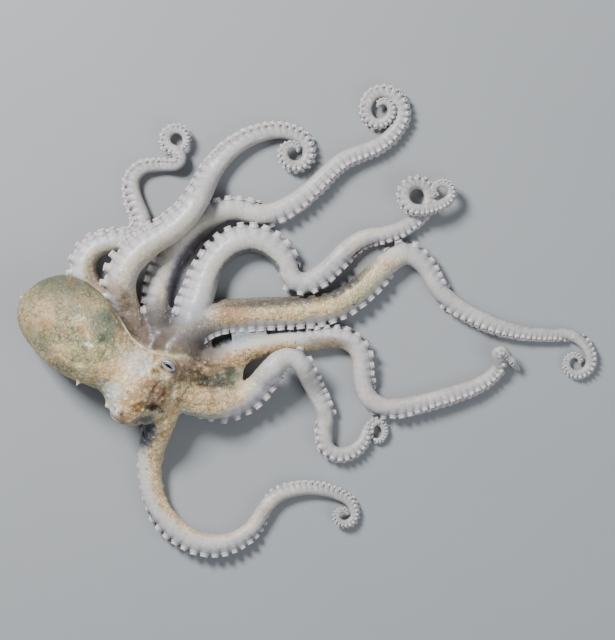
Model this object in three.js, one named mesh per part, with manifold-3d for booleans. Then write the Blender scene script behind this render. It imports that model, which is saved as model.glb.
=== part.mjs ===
// Octopus (a small ragged octopus), a still, life-size model lying on a floor.
// Millimetres, +Z up, floor at z = 0. The mantle points to -X, the arms spread to +X.
import * as THREE from 'three';
import { mergeVertices } from 'three/addons/utils/BufferGeometryUtils.js';
import Module from 'manifold-3d';
const wasm = await Module();
wasm.setup();

// ---------------------------------------------------------------- driving dimensions
const GAP = 0.3;            // clear cut between two neighbouring solids
const STEP = 0.25;          // sampling step along an arm
const BEND_BLEND = 2.5;     // length over which one bend eases into the next
const SIDES = 8;            // sides of an arm's section
const RING_ANGLE = 25;      // most degrees of bend between two rings of an arm
const RING_MAX = 4.6;       // longest step between two rings
const SIT = 0.12;           // how far an arm's underside is pressed flat on the floor
const BODY_ORIGIN = [-87.01, 2.66];   // rear end of the mantle on the floor plan
const BODY_HEADING = -32.9;           // direction from the mantle's rear to the head, degrees
const PLACE = [0.44, -0.48];           // moves the middle of the outline onto the origin
const EYE_RADIUS = 2.7;
const EYE_LEFT = [46.2, 9.9, 17.4];   // along the body, across it to the left, height
const EYE_RIGHT = [41.8, -8.9, 15.6];
const CROWN = [-41.5, -14.6];         // centre of the ring of arms on the floor plan

// Each arm leaves the crown at start (x, y) with a heading in degrees, and runs in
// bends [length, turn to the left]; width is [distance, full width with suckers],
// lift is [distance, height above lying on the floor]; cuts are the distances where it
// is parted.
const ARMS = {
  arm_right_1: { start: [-41.70, -17.40], heading: -101.9,
    bends: [[10, -7.7], [8, 0], [15.5, 27.7], [22.5, 56.3], [23.5, 86.6], [5, -6.9], [6.5, -34.7], [19.5, -49.2], [6, -59.5], [7.5, -153], [5.5, -176.9]],
    width: [[0, 10.5], [13, 10.2], [19, 9.3], [29, 7.3], [62, 6.5], [78, 4.9], [104, 3.9], [113, 3.1], [125, 2.0], [129.5, 1.3]],
    lift: [[0, 6], [12, 4], [26, 0], [114, 0], [129.5, 2.4]],
    cuts: [15, 34, 50, 66, 84, 106] },
  arm_left_1: { start: [-43.17, -17.69], heading: -55.9,
    bends: [[34, 109.5], [7, -2.6], [9.5, -114.5], [14, -1], [4, -32.2], [6.5, 9.9], [6.5, 82.8], [11.5, 79.8], [2.5, -9.2], [5, -120.8], [6, -106.8], [1, -64.1]],
    width: [[0, 9.8], [12, 9.8], [19, 9.4], [36, 7.6], [47, 6.2], [70, 5.2], [85, 4.2], [93, 3.4], [98.5, 2.5], [107.5, 1.3]],
    lift: [[0, 6.4], [14, 4], [26, 1.5], [32, 3], [40, 7.6], [48, 7.6], [61, 0], [95, 0], [107.5, 1.0]],
    cuts: [13, 30, 46, 63, 87] },
  arm_left_3: { start: [-42.15, -9.38], heading: 59.6,
    bends: [[23, -57.1], [22.5, -0.3], [18, 39.4], [8, 5.9], [8, -14.3], [5, -64.7], [6.5, -29], [5.5, -2.8], [3, 21.6], [39.5, 45.9], [4.5, -29], [8.5, -55.1], [7, -91.7], [7.5, -137.8], [5, -151.6]],
    width: [[0, 9.8], [15, 9.1], [22, 8.7], [46, 8.5], [65, 7.7], [82, 7.0], [92, 5.6], [117, 5.2], [131, 3.9], [147, 3.4], [159, 2.8], [171.5, 1.3]],
    lift: [[0, 4], [14, 1.2], [26, 0], [160, 0], [171.5, 0.8]],
    cuts: [22, 43, 66, 84, 110, 138] },
  arm_left_2: { start: [-42.31, -14.54], heading: 21.6,
    bends: [[8, -16.9], [14, 15.8], [17.5, -17.4], [8, 8], [6.5, -24.4], [10.5, -78], [3, 1], [5, 16.4], [8.5, 64.9], [7.5, 21.8], [18, 5.4], [9, 16.2], [4.5, 14], [3.5, 68], [5.2, -170], [6.5, -4], [2.5, -60], [3.5, -150]],
    width: [[0, 8.4], [6, 8.4], [15, 7.7], [35, 6.5], [50, 6.5], [65, 6.1], [78, 5.9], [92, 5.5], [106, 4.9], [118, 4.1], [124, 3.5], [134, 2.9], [140, 2.0], [141.7, 1.3]],
    lift: [[0, 4], [14, 1.2], [26, 0], [117, 0], [129, 5.6], [137, 1.6], [141.7, 0.6]],
    cuts: [12, 34, 56, 72, 94, 119] },
  arm_left_4: { start: [-40.31, -12.56], heading: 73.5,
    bends: [[27.5, -2], [10.5, -28.6], [26, -123.5], [2.5, 34], [6.5, 78.1], [11.5, 18.6], [7, -17.6], [7, -28], [17.5, 48], [4, 38.9], [19.5, 267.3], [10, 36.3], [2.5, 50.8], [6.5, 129.1], [3.5, 118.5]],
    width: [[0, 9.8], [8, 10.4], [18, 10.4], [32, 8.6], [44, 8.6], [54, 8.0], [64, 6.6], [75, 6.6], [97, 4.9], [116, 3.8], [130, 3.4], [144, 2.8], [152, 2.2], [162, 1.3]],
    lift: [[0, 3], [14, 0.6], [24, 0], [122, 0], [136, 4.2], [162, 4.6]],
    cuts: [22, 38, 50, 66, 91, 116] },
  arm_right_4: { start: [-44.22, -14.30], heading: 108.1,
    bends: [[20, -20.3], [23.5, -39.4], [13.5, -30.3], [9, -39.3], [9.5, 45.2], [10, 16.9], [9.5, 6.6], [11, -30.9], [4.5, 6.6], [12, 38.6], [11.5, 102.4], [14, 153.4], [2.5, 52.3], [4, 45.4], [4.5, 82.1], [4, 110.3]],
    width: [[0, 8.4], [15, 8.3], [28, 8.0], [56, 7.0], [74, 6.5], [90, 5.6], [113, 4.5], [130, 3.7], [142, 3.3], [157, 2.2], [163, 1.3]],
    lift: [[0, 1.5], [14, 0], [142, 0], [163, 2.2]],
    cuts: [19, 40, 60, 82, 106, 130] },
  arm_right_3: { start: [-46.11, -15.09], heading: 129.7,
    bends: [[24.5, -25], [13.5, -56.7], [11.5, -19.3], [21, 41.4], [26.5, -58.6], [10, -40.1], [7.5, -81.4], [9.5, -144.5], [5.5, -110.3], [2.5, -92.2]],
    width: [[0, 8.4], [8, 8.8], [16, 9.2], [24, 9.4], [30, 9.6], [42, 9.0], [61, 7.7], [71, 6.6], [93, 5.2], [108, 4.1], [119, 3.3], [126, 2.8], [132, 1.4]],
    lift: [[0, 0.6], [12, 0], [21, 0.4], [33, 6.6], [63, 7.5], [76, 0], [108, 0], [132, 2.8]],
    cuts: [24, 42, 62, 84, 106] },
  arm_right_2: { start: [-48.37, -17.13], heading: 122.6,
    bends: [[31.5, 4.7], [6, -20.6], [10.5, -77.6], [8.5, -33.8], [11.5, 120.3], [8.5, -13.4], [9.5, -94.4], [8, -13.2], [1, 30.9], [6, 147.4], [16, -289.7]],
    width: [[0, 7.2], [22, 7.3], [31, 7.8], [37, 8.1], [46, 7.3], [56, 6.6], [65, 5.9], [78, 4.8], [86, 4.1], [93, 3.3], [106, 2.7], [112, 2.1], [117, 1.3]],
    lift: [[0, 0.3], [90, 0], [97, 2.4], [105, 1.6], [117, 2.6]],
    cuts: [32, 45, 58, 76, 93] },
};

// The body: distance along its axis, offset of its middle to the left, half width,
// height of its middle, half height. The cut between mantle and head is at NECK.
const NECK = 32.2;
const BODY = [
  [-3.2, 3.3, 1.8, 7.2, 1.6], [-2.0, 4.0, 5.0, 7.4, 4.4], [0.0, 4.7, 8.3, 7.7, 6.7], [3.2, 5.1, 11.0, 8.3, 8.5],
  [7, 5.2, 12.5, 9.5, 9.6], [11, 5.0, 13.4, 11.3, 10.3], [15.5, 4.5, 13.7, 13.2, 10.7], [20, 4.1, 13.2, 14.6, 10.5],
  [24.5, 3.6, 12.1, 15.2, 10.0], [28.4, 2.8, 10.4, 15.2, 9.2], [NECK, 2.4, 9.3, 14.8, 8.3]];
const HEAD = [
  [NECK, 2.4, 9.3, 14.8, 8.3], [35.5, 1.6, 9.8, 14.6, 8.0], [39, 0.7, 11.1, 14.5, 8.3], [43, 0.3, 12.0, 14.3, 8.6],
  [46.5, 1.0, 11.9, 13.6, 8.3], [49.5, 1.6, 10.2, 12.6, 7.4], [52, 2.0, 7.6, 11.6, 6.0], [53.8, 2.2, 3.6, 10.8, 3.4]];
// small spikes of skin: along, across, height of the foot, lean [along, across, up], length, foot radius
const MANTLE_SPIKES = [
  [-2.4, 3.4, 8.0, [-1, 0.05, 0.35], 2.4, 1.1], [25.8, -7.2, 17.2, [0.1, -1, 0.25], 2.6, 1.0]];
const HEAD_SPIKES = [
  [43.5, 8.6, 20.0, [-0.1, 0.55, 1], 3.2, 1.3], [41.0, -8.2, 20.2, [-0.1, -0.55, 1], 3.2, 1.3],
  [36.8, -8.4, 15.5, [0.1, -1, 0.3], 2.2, 0.9]];
// the funnel under the neck: rear and front end (x, y, z), radii and bore
const FUNNEL = { from: [-60.2, -12.9, 3.4], to: [-51.0, -21.6, 2.9], r0: 3.3, r1: 2.3, bore: 1.5, depth: 3.2 };

// ---------------------------------------------------------------- helpers
const rad = Math.PI / 180;
const lerpTable = (table, s, column = 1) => {
  if (s <= table[0][0]) return table[0][column];
  for (let i = 1; i < table.length; i++) {
    if (s <= table[i][0]) {
      const t = (s - table[i - 1][0]) / (table[i][0] - table[i - 1][0]);
      return table[i - 1][column] + t * (table[i][column] - table[i - 1][column]);
    }
  }
  return table[table.length - 1][column];
};
const easeTable = (table, s) => {
  if (s <= table[0][0]) return table[0][1];
  for (let i = 1; i < table.length; i++) {
    if (s <= table[i][0]) {
      let t = (s - table[i - 1][0]) / (table[i][0] - table[i - 1][0]);
      t = t * t * (3 - 2 * t);
      return table[i - 1][1] + t * (table[i][1] - table[i - 1][1]);
    }
  }
  return table[table.length - 1][1];
};

// closed skin through a list of rings of points; both ends are capped flat
function loft(rings) {
  const n = rings[0].length;
  const pts = [];
  const tri = [];
  for (const ring of rings) for (const p of ring) pts.push(p.x, p.y, p.z);
  for (let i = 0; i + 1 < rings.length; i++) {
    for (let j = 0; j < n; j++) {
      const a = i * n + j, b = i * n + (j + 1) % n, c = a + n, d = b + n;
      tri.push(a, b, d, a, d, c);
    }
  }
  const last = (rings.length - 1) * n;
  for (let j = 1; j + 1 < n; j++) {
    tri.push(0, j + 1, j);
    tri.push(last, last + j, last + j + 1);
  }
  const g = new THREE.BufferGeometry();
  g.setAttribute('position', new THREE.Float32BufferAttribute(pts, 3));
  g.setIndex(tri);
  if (volume(g) < 0) for (let i = 0; i < tri.length; i += 3) [tri[i + 1], tri[i + 2]] = [tri[i + 2], tri[i + 1]];
  g.setIndex(tri);
  return g;
}
function volume(g) {
  const p = g.getAttribute('position'), ix = g.getIndex().array;
  const a = new THREE.Vector3(), b = new THREE.Vector3(), c = new THREE.Vector3();
  let v = 0;
  for (let i = 0; i < ix.length; i += 3) {
    a.fromBufferAttribute(p, ix[i]); b.fromBufferAttribute(p, ix[i + 1]); c.fromBufferAttribute(p, ix[i + 2]);
    v += a.dot(b.cross(c)) / 6;
  }
  return v;
}
function solid(geometry) {
  let g = geometry.clone();
  g.deleteAttribute('normal');
  g.deleteAttribute('uv');
  g = mergeVertices(g, 1e-5);
  return new wasm.Manifold(new wasm.Mesh({ numProp: 3,
    vertProperties: Float32Array.from(g.getAttribute('position').array),
    triVerts: Uint32Array.from(g.getIndex().array) }));
}
function shape(manifold) {
  const m = manifold.getMesh();
  const g = new THREE.BufferGeometry();
  g.setAttribute('position', new THREE.BufferAttribute(Float32Array.from(m.vertProperties), 3));
  g.setIndex(new THREE.BufferAttribute(Uint32Array.from(m.triVerts), 1));
  return g;
}

// ---------------------------------------------------------------- arms
// the arm's centre line with its frame, sampled every STEP
function armPath(arm) {
  const knots = [[0, 0]];
  for (const [length, turn] of arm.bends) {
    const k = knots[knots.length - 1];
    knots.push([k[0] + length, k[1] + turn]);
  }
  const total = knots[knots.length - 1][0];
  const first = arm.bends[0][1] / arm.bends[0][0];
  const lastBend = arm.bends[arm.bends.length - 1];
  const turnAt = (s) => (s < 0 ? first * s
    : s > total ? knots[knots.length - 1][1] + (lastBend[1] / lastBend[0]) * (s - total) : lerpTable(knots, s));
  const heading = (s) => {
    let sum = 0, count = 0;
    for (let e = -BEND_BLEND / 2; e <= BEND_BLEND / 2 + 1e-9; e += STEP) { sum += turnAt(s + e); count++; }
    return arm.heading + sum / count;
  };
  const samples = [];
  let x = arm.start[0], y = arm.start[1];
  const n = Math.round(total / STEP);
  for (let i = 0; i <= n; i++) {
    const s = i * STEP;
    const w = lerpTable(arm.width, s);
    samples.push({ s, x, y, z: 0.476 * w - SIT + easeTable(arm.lift, s), r: w / 2, h: heading(s) });
    const hm = heading(s + STEP / 2) * rad;
    x += Math.cos(hm) * STEP;
    y += Math.sin(hm) * STEP;
  }
  for (let i = 0; i <= n; i++) {
    const a = samples[Math.max(0, i - 1)], b = samples[Math.min(n, i + 1)];
    const h = samples[i].h * rad;
    const slope = (b.z - a.z) / (b.s - a.s);
    samples[i].T = new THREE.Vector3(Math.cos(h), Math.sin(h), slope).normalize();
    samples[i].N = new THREE.Vector3(-Math.sin(h), Math.cos(h), 0);
    samples[i].B = samples[i].T.clone().cross(samples[i].N);
  }
  return samples;
}
// one ring of the arm's section, pressed flat where it meets the floor
function armRing(p, grow, scale = 1) {
  const ring = [];
  for (let k = 0; k < SIDES; k++) {
    const a = (k + 0.5) * 2 * Math.PI / SIDES;
    const r = (p.r * 1.03 + grow) * scale;
    const v = new THREE.Vector3(p.x, p.y, p.z)
      .addScaledVector(p.N, r * Math.cos(a)).addScaledVector(p.B, r * Math.sin(a));
    v.z = Math.max(v.z, grow > 0 ? -grow : 0);
    ring.push(v);
  }
  return ring;
}
// the length of an arm between two distances
function armLength(path, from, to, grow = 0, tip = false) {
  const end = path[path.length - 1].s;
  const pick = (s) => path[Math.max(0, Math.min(path.length - 1, Math.round(s / STEP)))];
  const at = (s) => {        // between two samples
    const i = Math.min(path.length - 2, Math.max(0, Math.floor(s / STEP)));
    const t = s / STEP - i, a = path[i], b = path[i + 1];
    return { s, x: a.x + t * (b.x - a.x), y: a.y + t * (b.y - a.y), z: a.z + t * (b.z - a.z), r: a.r + t * (b.r - a.r),
      N: a.N, B: a.B, T: a.T, h: a.h };
  };
  const rings = [armRing(at(from), grow)];
  let s = from;
  while (s < to - 1e-6) {
    let step = STEP;
    while (step < RING_MAX && s + step < to) {
      const turned = Math.abs(pick(s + step).h - pick(s).h);
      if (turned > RING_ANGLE) break;
      step += STEP;
    }
    let next = s + step;
    if (to - next < 0.45 * step) next = to;
    s = Math.min(next, to);
    rings.push(armRing(at(Math.min(s, end - 1e-3)), grow));
  }
  if (tip) {
    const p = at(end - 1e-3);
    const q = { ...p, x: p.x + p.T.x * 0.35, y: p.y + p.T.y * 0.35 };
    rings.push(armRing(q, 0, 0.55));
  }
  return loft(rings);
}

// ---------------------------------------------------------------- body
const bodyX = new THREE.Vector3(Math.cos(BODY_HEADING * rad), Math.sin(BODY_HEADING * rad), 0);
const bodyY = new THREE.Vector3(-Math.sin(BODY_HEADING * rad), Math.cos(BODY_HEADING * rad), 0);
const bodyPoint = (along, across, up) => new THREE.Vector3(BODY_ORIGIN[0], BODY_ORIGIN[1], up)
  .addScaledVector(bodyX, along).addScaledVector(bodyY, across);
function bodyLoft(table, grow = 0, cutStart = 0, cutEnd = 0) {
  const sides = 16;
  const rings = table.map(([t, off, w, z, h], i) => {
    const along = t + (i === 0 ? cutStart : 0) - (i === table.length - 1 ? cutEnd : 0);
    const ring = [];
    for (let k = 0; k < sides; k++) {
      const a = (k + 0.5) * 2 * Math.PI / sides;
      const p = bodyPoint(along, off + (w + grow) * 1.01 * Math.cos(a), z + (h + grow) * 1.01 * Math.sin(a));
      p.z = Math.max(p.z, 0);
      ring.push(p);
    }
    return ring;
  });
  return loft(rings);
}
function spike([along, across, up, lean, length, foot]) {
  const g = new THREE.ConeGeometry(foot, length + foot, 6);
  const dir = new THREE.Vector3(lean[0] * bodyX.x + lean[1] * bodyY.x, lean[0] * bodyX.y + lean[1] * bodyY.y, lean[2]).normalize();
  g.applyQuaternion(new THREE.Quaternion().setFromUnitVectors(new THREE.Vector3(0, 1, 0), dir));
  const p = bodyPoint(along, across, up).addScaledVector(dir, length / 2 - foot / 2);
  g.translate(p.x, p.y, p.z);
  return solid(g);
}
const ball = (r, p, detail = 2) => {
  const g = new THREE.IcosahedronGeometry(r, detail);
  g.translate(p.x, p.y, p.z);
  return solid(g);
};

let mantle = solid(bodyLoft(BODY, 0, 0, GAP / 2));
for (const s of MANTLE_SPIKES) mantle = mantle.add(spike(s));
let head = solid(bodyLoft(HEAD, 0, GAP / 2, 0));
const eyeLeftAt = bodyPoint(...EYE_LEFT), eyeRightAt = bodyPoint(...EYE_RIGHT);
for (const at of [eyeLeftAt, eyeRightAt]) {          // swelling round each eye
  const g = new THREE.IcosahedronGeometry(1, 2);
  g.scale(4.3, 4.3, 3.9);
  const inward = bodyPoint(44, 0.5, 13.5).sub(at).normalize().multiplyScalar(2.1);
  g.translate(at.x + inward.x, at.y + inward.y, at.z + inward.z);
  head = head.add(solid(g));
}
for (const s of HEAD_SPIKES) head = head.add(spike(s));
// keep the head's rear end on the neck's cut
{
  const half = new THREE.BoxGeometry(60, 60, 60);
  half.translate(-30 + GAP / 2, 0, 0);
  half.rotateZ(BODY_HEADING * rad);
  const p = bodyPoint(NECK, 0, 0);
  half.translate(p.x, p.y, 0);
  head = head.subtract(solid(half));
}
const eyeLeft = ball(EYE_RADIUS, eyeLeftAt), eyeRight = ball(EYE_RADIUS, eyeRightAt);
head = head.subtract(ball(EYE_RADIUS + GAP, eyeLeftAt)).subtract(ball(EYE_RADIUS + GAP, eyeRightAt));
const mantleGrown = solid(bodyLoft(BODY, GAP, 0, 0)), headGrown = solid(bodyLoft(HEAD, GAP));

// the ring of arms: roots of the eight arms joined by a low dome and thin webs
const paths = Object.fromEntries(Object.entries(ARMS).map(([k, a]) => [k, armPath(a)]));
let crown = (() => {
  const g = new THREE.SphereGeometry(1, 20, 10);
  g.rotateX(Math.PI / 2);
  g.scale(10.4, 10.8, 6.6);
  g.translate(CROWN[0], CROWN[1], 6.4);
  return solid(g);
})();
// thin webs of skin between neighbouring arms: distances along each arm, height, thickness
const WEBS = [
  ['arm_left_1', 24, 'arm_left_2', 27, 4.6], ['arm_left_4', 22, 'arm_right_4', 22, 3.6],
  ['arm_right_4', 19, 'arm_right_3', 20, 3.2], ['arm_left_2', 16, 'arm_left_3', 18, 4.0],
  ['arm_left_3', 24, 'arm_left_4', 23, 4.4], ['arm_right_1', 16, 'arm_left_1', 16, 6.0]];
const WEB_THICK = 1.6;
for (const [a, sa, b, sb, up] of WEBS) {
  const at = (name, s) => { const q = paths[name][Math.round(s / STEP)]; return new THREE.Vector2(q.x, q.y); };
  const pa = at(a, sa), pb = at(b, sb), mid = pa.clone().add(pb).multiplyScalar(0.5)
    .lerp(new THREE.Vector2(CROWN[0], CROWN[1]), 0.3);
  const outline = [new THREE.Vector2(CROWN[0], CROWN[1]), at(a, sa * 0.55), pa];
  for (let k = 1; k < 6; k++) {          // hollow outer edge
    const t = k / 6;
    outline.push(pa.clone().multiplyScalar((1 - t) ** 2).addScaledVector(mid, 2 * t * (1 - t)).addScaledVector(pb, t * t));
  }
  outline.push(pb, at(b, sb * 0.55));
  if (THREE.ShapeUtils.area(outline) < 0) outline.reverse();
  const g = new THREE.ExtrudeGeometry(new THREE.Shape(outline), { depth: WEB_THICK, bevelEnabled: false });
  g.translate(0, 0, up - WEB_THICK / 2);
  crown = crown.add(solid(g));
}
const others = [];
for (const [name, arm] of Object.entries(ARMS)) {
  crown = crown.add(solid(armLength(paths[name], 0, arm.cuts[0] - GAP / 2)));
  others.push(solid(armLength(paths[name], arm.cuts[0] - GAP / 2, arm.cuts[0] + 18, GAP)));
}
{
  const floor = new THREE.BoxGeometry(80, 80, 20);
  floor.translate(CROWN[0], CROWN[1], -10);
  crown = crown.subtract(solid(floor));
}
for (const o of others) crown = crown.subtract(o);
crown = crown.subtract(headGrown).subtract(mantleGrown)
  .subtract(ball(EYE_RADIUS + GAP, eyeLeftAt)).subtract(ball(EYE_RADIUS + GAP, eyeRightAt));
{
  const parts = crown.decompose().sort((a, b) => b.volume() - a.volume());
  crown = parts[0];
}
head = head.subtract(solid(armLength(paths.arm_right_2, 10, 40, GAP)));

// the funnel: a short cone with a blind bore at its front
let funnel = (() => {
  const a = new THREE.Vector3(...FUNNEL.from), b = new THREE.Vector3(...FUNNEL.to);
  const dir = b.clone().sub(a), length = dir.length();
  dir.normalize();
  const turn = new THREE.Quaternion().setFromUnitVectors(new THREE.Vector3(0, 1, 0), dir);
  const outer = new THREE.CylinderGeometry(FUNNEL.r1, FUNNEL.r0, length, 12);
  outer.applyQuaternion(turn);
  outer.translate((a.x + b.x) / 2, (a.y + b.y) / 2, (a.z + b.z) / 2);
  const bore = new THREE.CylinderGeometry(FUNNEL.bore, FUNNEL.bore * 0.8, FUNNEL.depth * 2, 10);
  bore.applyQuaternion(turn);
  bore.translate(b.x, b.y, b.z);
  const floor = new THREE.BoxGeometry(40, 40, 20);
  floor.translate(a.x, a.y, -10);
  return solid(outer).subtract(solid(bore)).subtract(solid(floor));
})();
funnel = funnel.subtract(solid(armLength(paths.arm_right_2, 0, 40, GAP))).subtract(headGrown).subtract(mantleGrown);
{
  const grown = new THREE.SphereGeometry(1, 20, 10);
  grown.rotateX(Math.PI / 2);
  grown.scale(10.4 + GAP, 10.8 + GAP, 6.6 + GAP);
  grown.translate(CROWN[0], CROWN[1], 6.4);
  funnel = funnel.subtract(solid(grown));
  for (const [name, arm] of Object.entries(ARMS)) funnel = funnel.subtract(solid(armLength(paths[name], 0, arm.cuts[0], GAP)));
  funnel = funnel.decompose().sort((a, b) => b.volume() - a.volume())[0];
}

// ---------------------------------------------------------------- the model
const skin = (color, roughness = 0.45) => new THREE.MeshStandardMaterial({ color, roughness, metalness: 0 });
const BODY_COLOUR = 0xb3ac8e, HEAD_COLOUR = 0xbfa98c, ARM_COLOUR = 0xbdb5a4, TIP_COLOUR = 0xc4c1bd;
const model = new THREE.Group();
model.name = 'octopus';
model.position.set(PLACE[0], PLACE[1], 0);
function put(name, geometry, material) {
  const mesh = new THREE.Mesh(geometry, material);
  mesh.name = name;
  model.add(mesh);
}
put('mantle', shape(mantle), skin(BODY_COLOUR));
put('head', shape(head), skin(HEAD_COLOUR));
put('crown', shape(crown), skin(HEAD_COLOUR));
put('funnel', shape(funnel), skin(0xb9b7b2));
put('eye_left', shape(eyeLeft), skin(0x3b4a5c, 0.12));
put('eye_right', shape(eyeRight), skin(0x3b4a5c, 0.12));
const LETTERS = 'abcdefgh';
for (const [name, arm] of Object.entries(ARMS)) {
  const path = paths[name];
  const end = path[path.length - 1].s;
  const stops = [...arm.cuts, end];
  for (let i = 0; i + 1 < stops.length; i++) {
    const last = i + 2 === stops.length;
    let g = armLength(path, stops[i] + GAP / 2, last ? end : stops[i + 1] - GAP / 2, 0, last);
    if (i < 2) {
      let m = solid(g).subtract(headGrown).subtract(mantleGrown);
      m = m.decompose().sort((a, b) => b.volume() - a.volume())[0];
      g = shape(m);
    }
    put(`${name}_${LETTERS[i]}`, g, skin(i < 2 ? ARM_COLOUR : TIP_COLOUR));
  }
}
export default model;
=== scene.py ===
import bpy, math, time
import numpy as np
import openvdb
from mathutils import Vector, Matrix, Quaternion


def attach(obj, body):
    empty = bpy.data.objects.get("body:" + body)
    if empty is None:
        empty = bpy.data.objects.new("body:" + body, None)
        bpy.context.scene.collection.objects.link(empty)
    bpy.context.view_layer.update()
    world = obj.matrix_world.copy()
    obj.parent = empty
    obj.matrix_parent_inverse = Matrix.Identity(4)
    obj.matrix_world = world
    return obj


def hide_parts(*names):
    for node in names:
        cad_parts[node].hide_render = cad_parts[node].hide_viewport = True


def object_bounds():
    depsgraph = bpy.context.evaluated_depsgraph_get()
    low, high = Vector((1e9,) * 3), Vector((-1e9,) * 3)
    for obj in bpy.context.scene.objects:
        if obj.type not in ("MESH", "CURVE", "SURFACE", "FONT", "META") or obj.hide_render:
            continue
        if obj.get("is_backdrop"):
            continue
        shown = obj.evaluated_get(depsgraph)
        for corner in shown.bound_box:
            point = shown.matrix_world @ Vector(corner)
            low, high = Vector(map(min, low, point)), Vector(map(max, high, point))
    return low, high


T0 = time.time()
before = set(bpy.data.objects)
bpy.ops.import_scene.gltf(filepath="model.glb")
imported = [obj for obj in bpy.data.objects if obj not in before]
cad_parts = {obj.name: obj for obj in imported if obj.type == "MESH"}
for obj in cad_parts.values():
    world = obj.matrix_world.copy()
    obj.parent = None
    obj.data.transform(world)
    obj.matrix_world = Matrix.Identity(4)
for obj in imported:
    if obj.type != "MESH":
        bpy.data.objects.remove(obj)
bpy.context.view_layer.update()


def say(*what):
    print(f"[{time.time() - T0:6.1f}s]", *what, flush=True)


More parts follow.
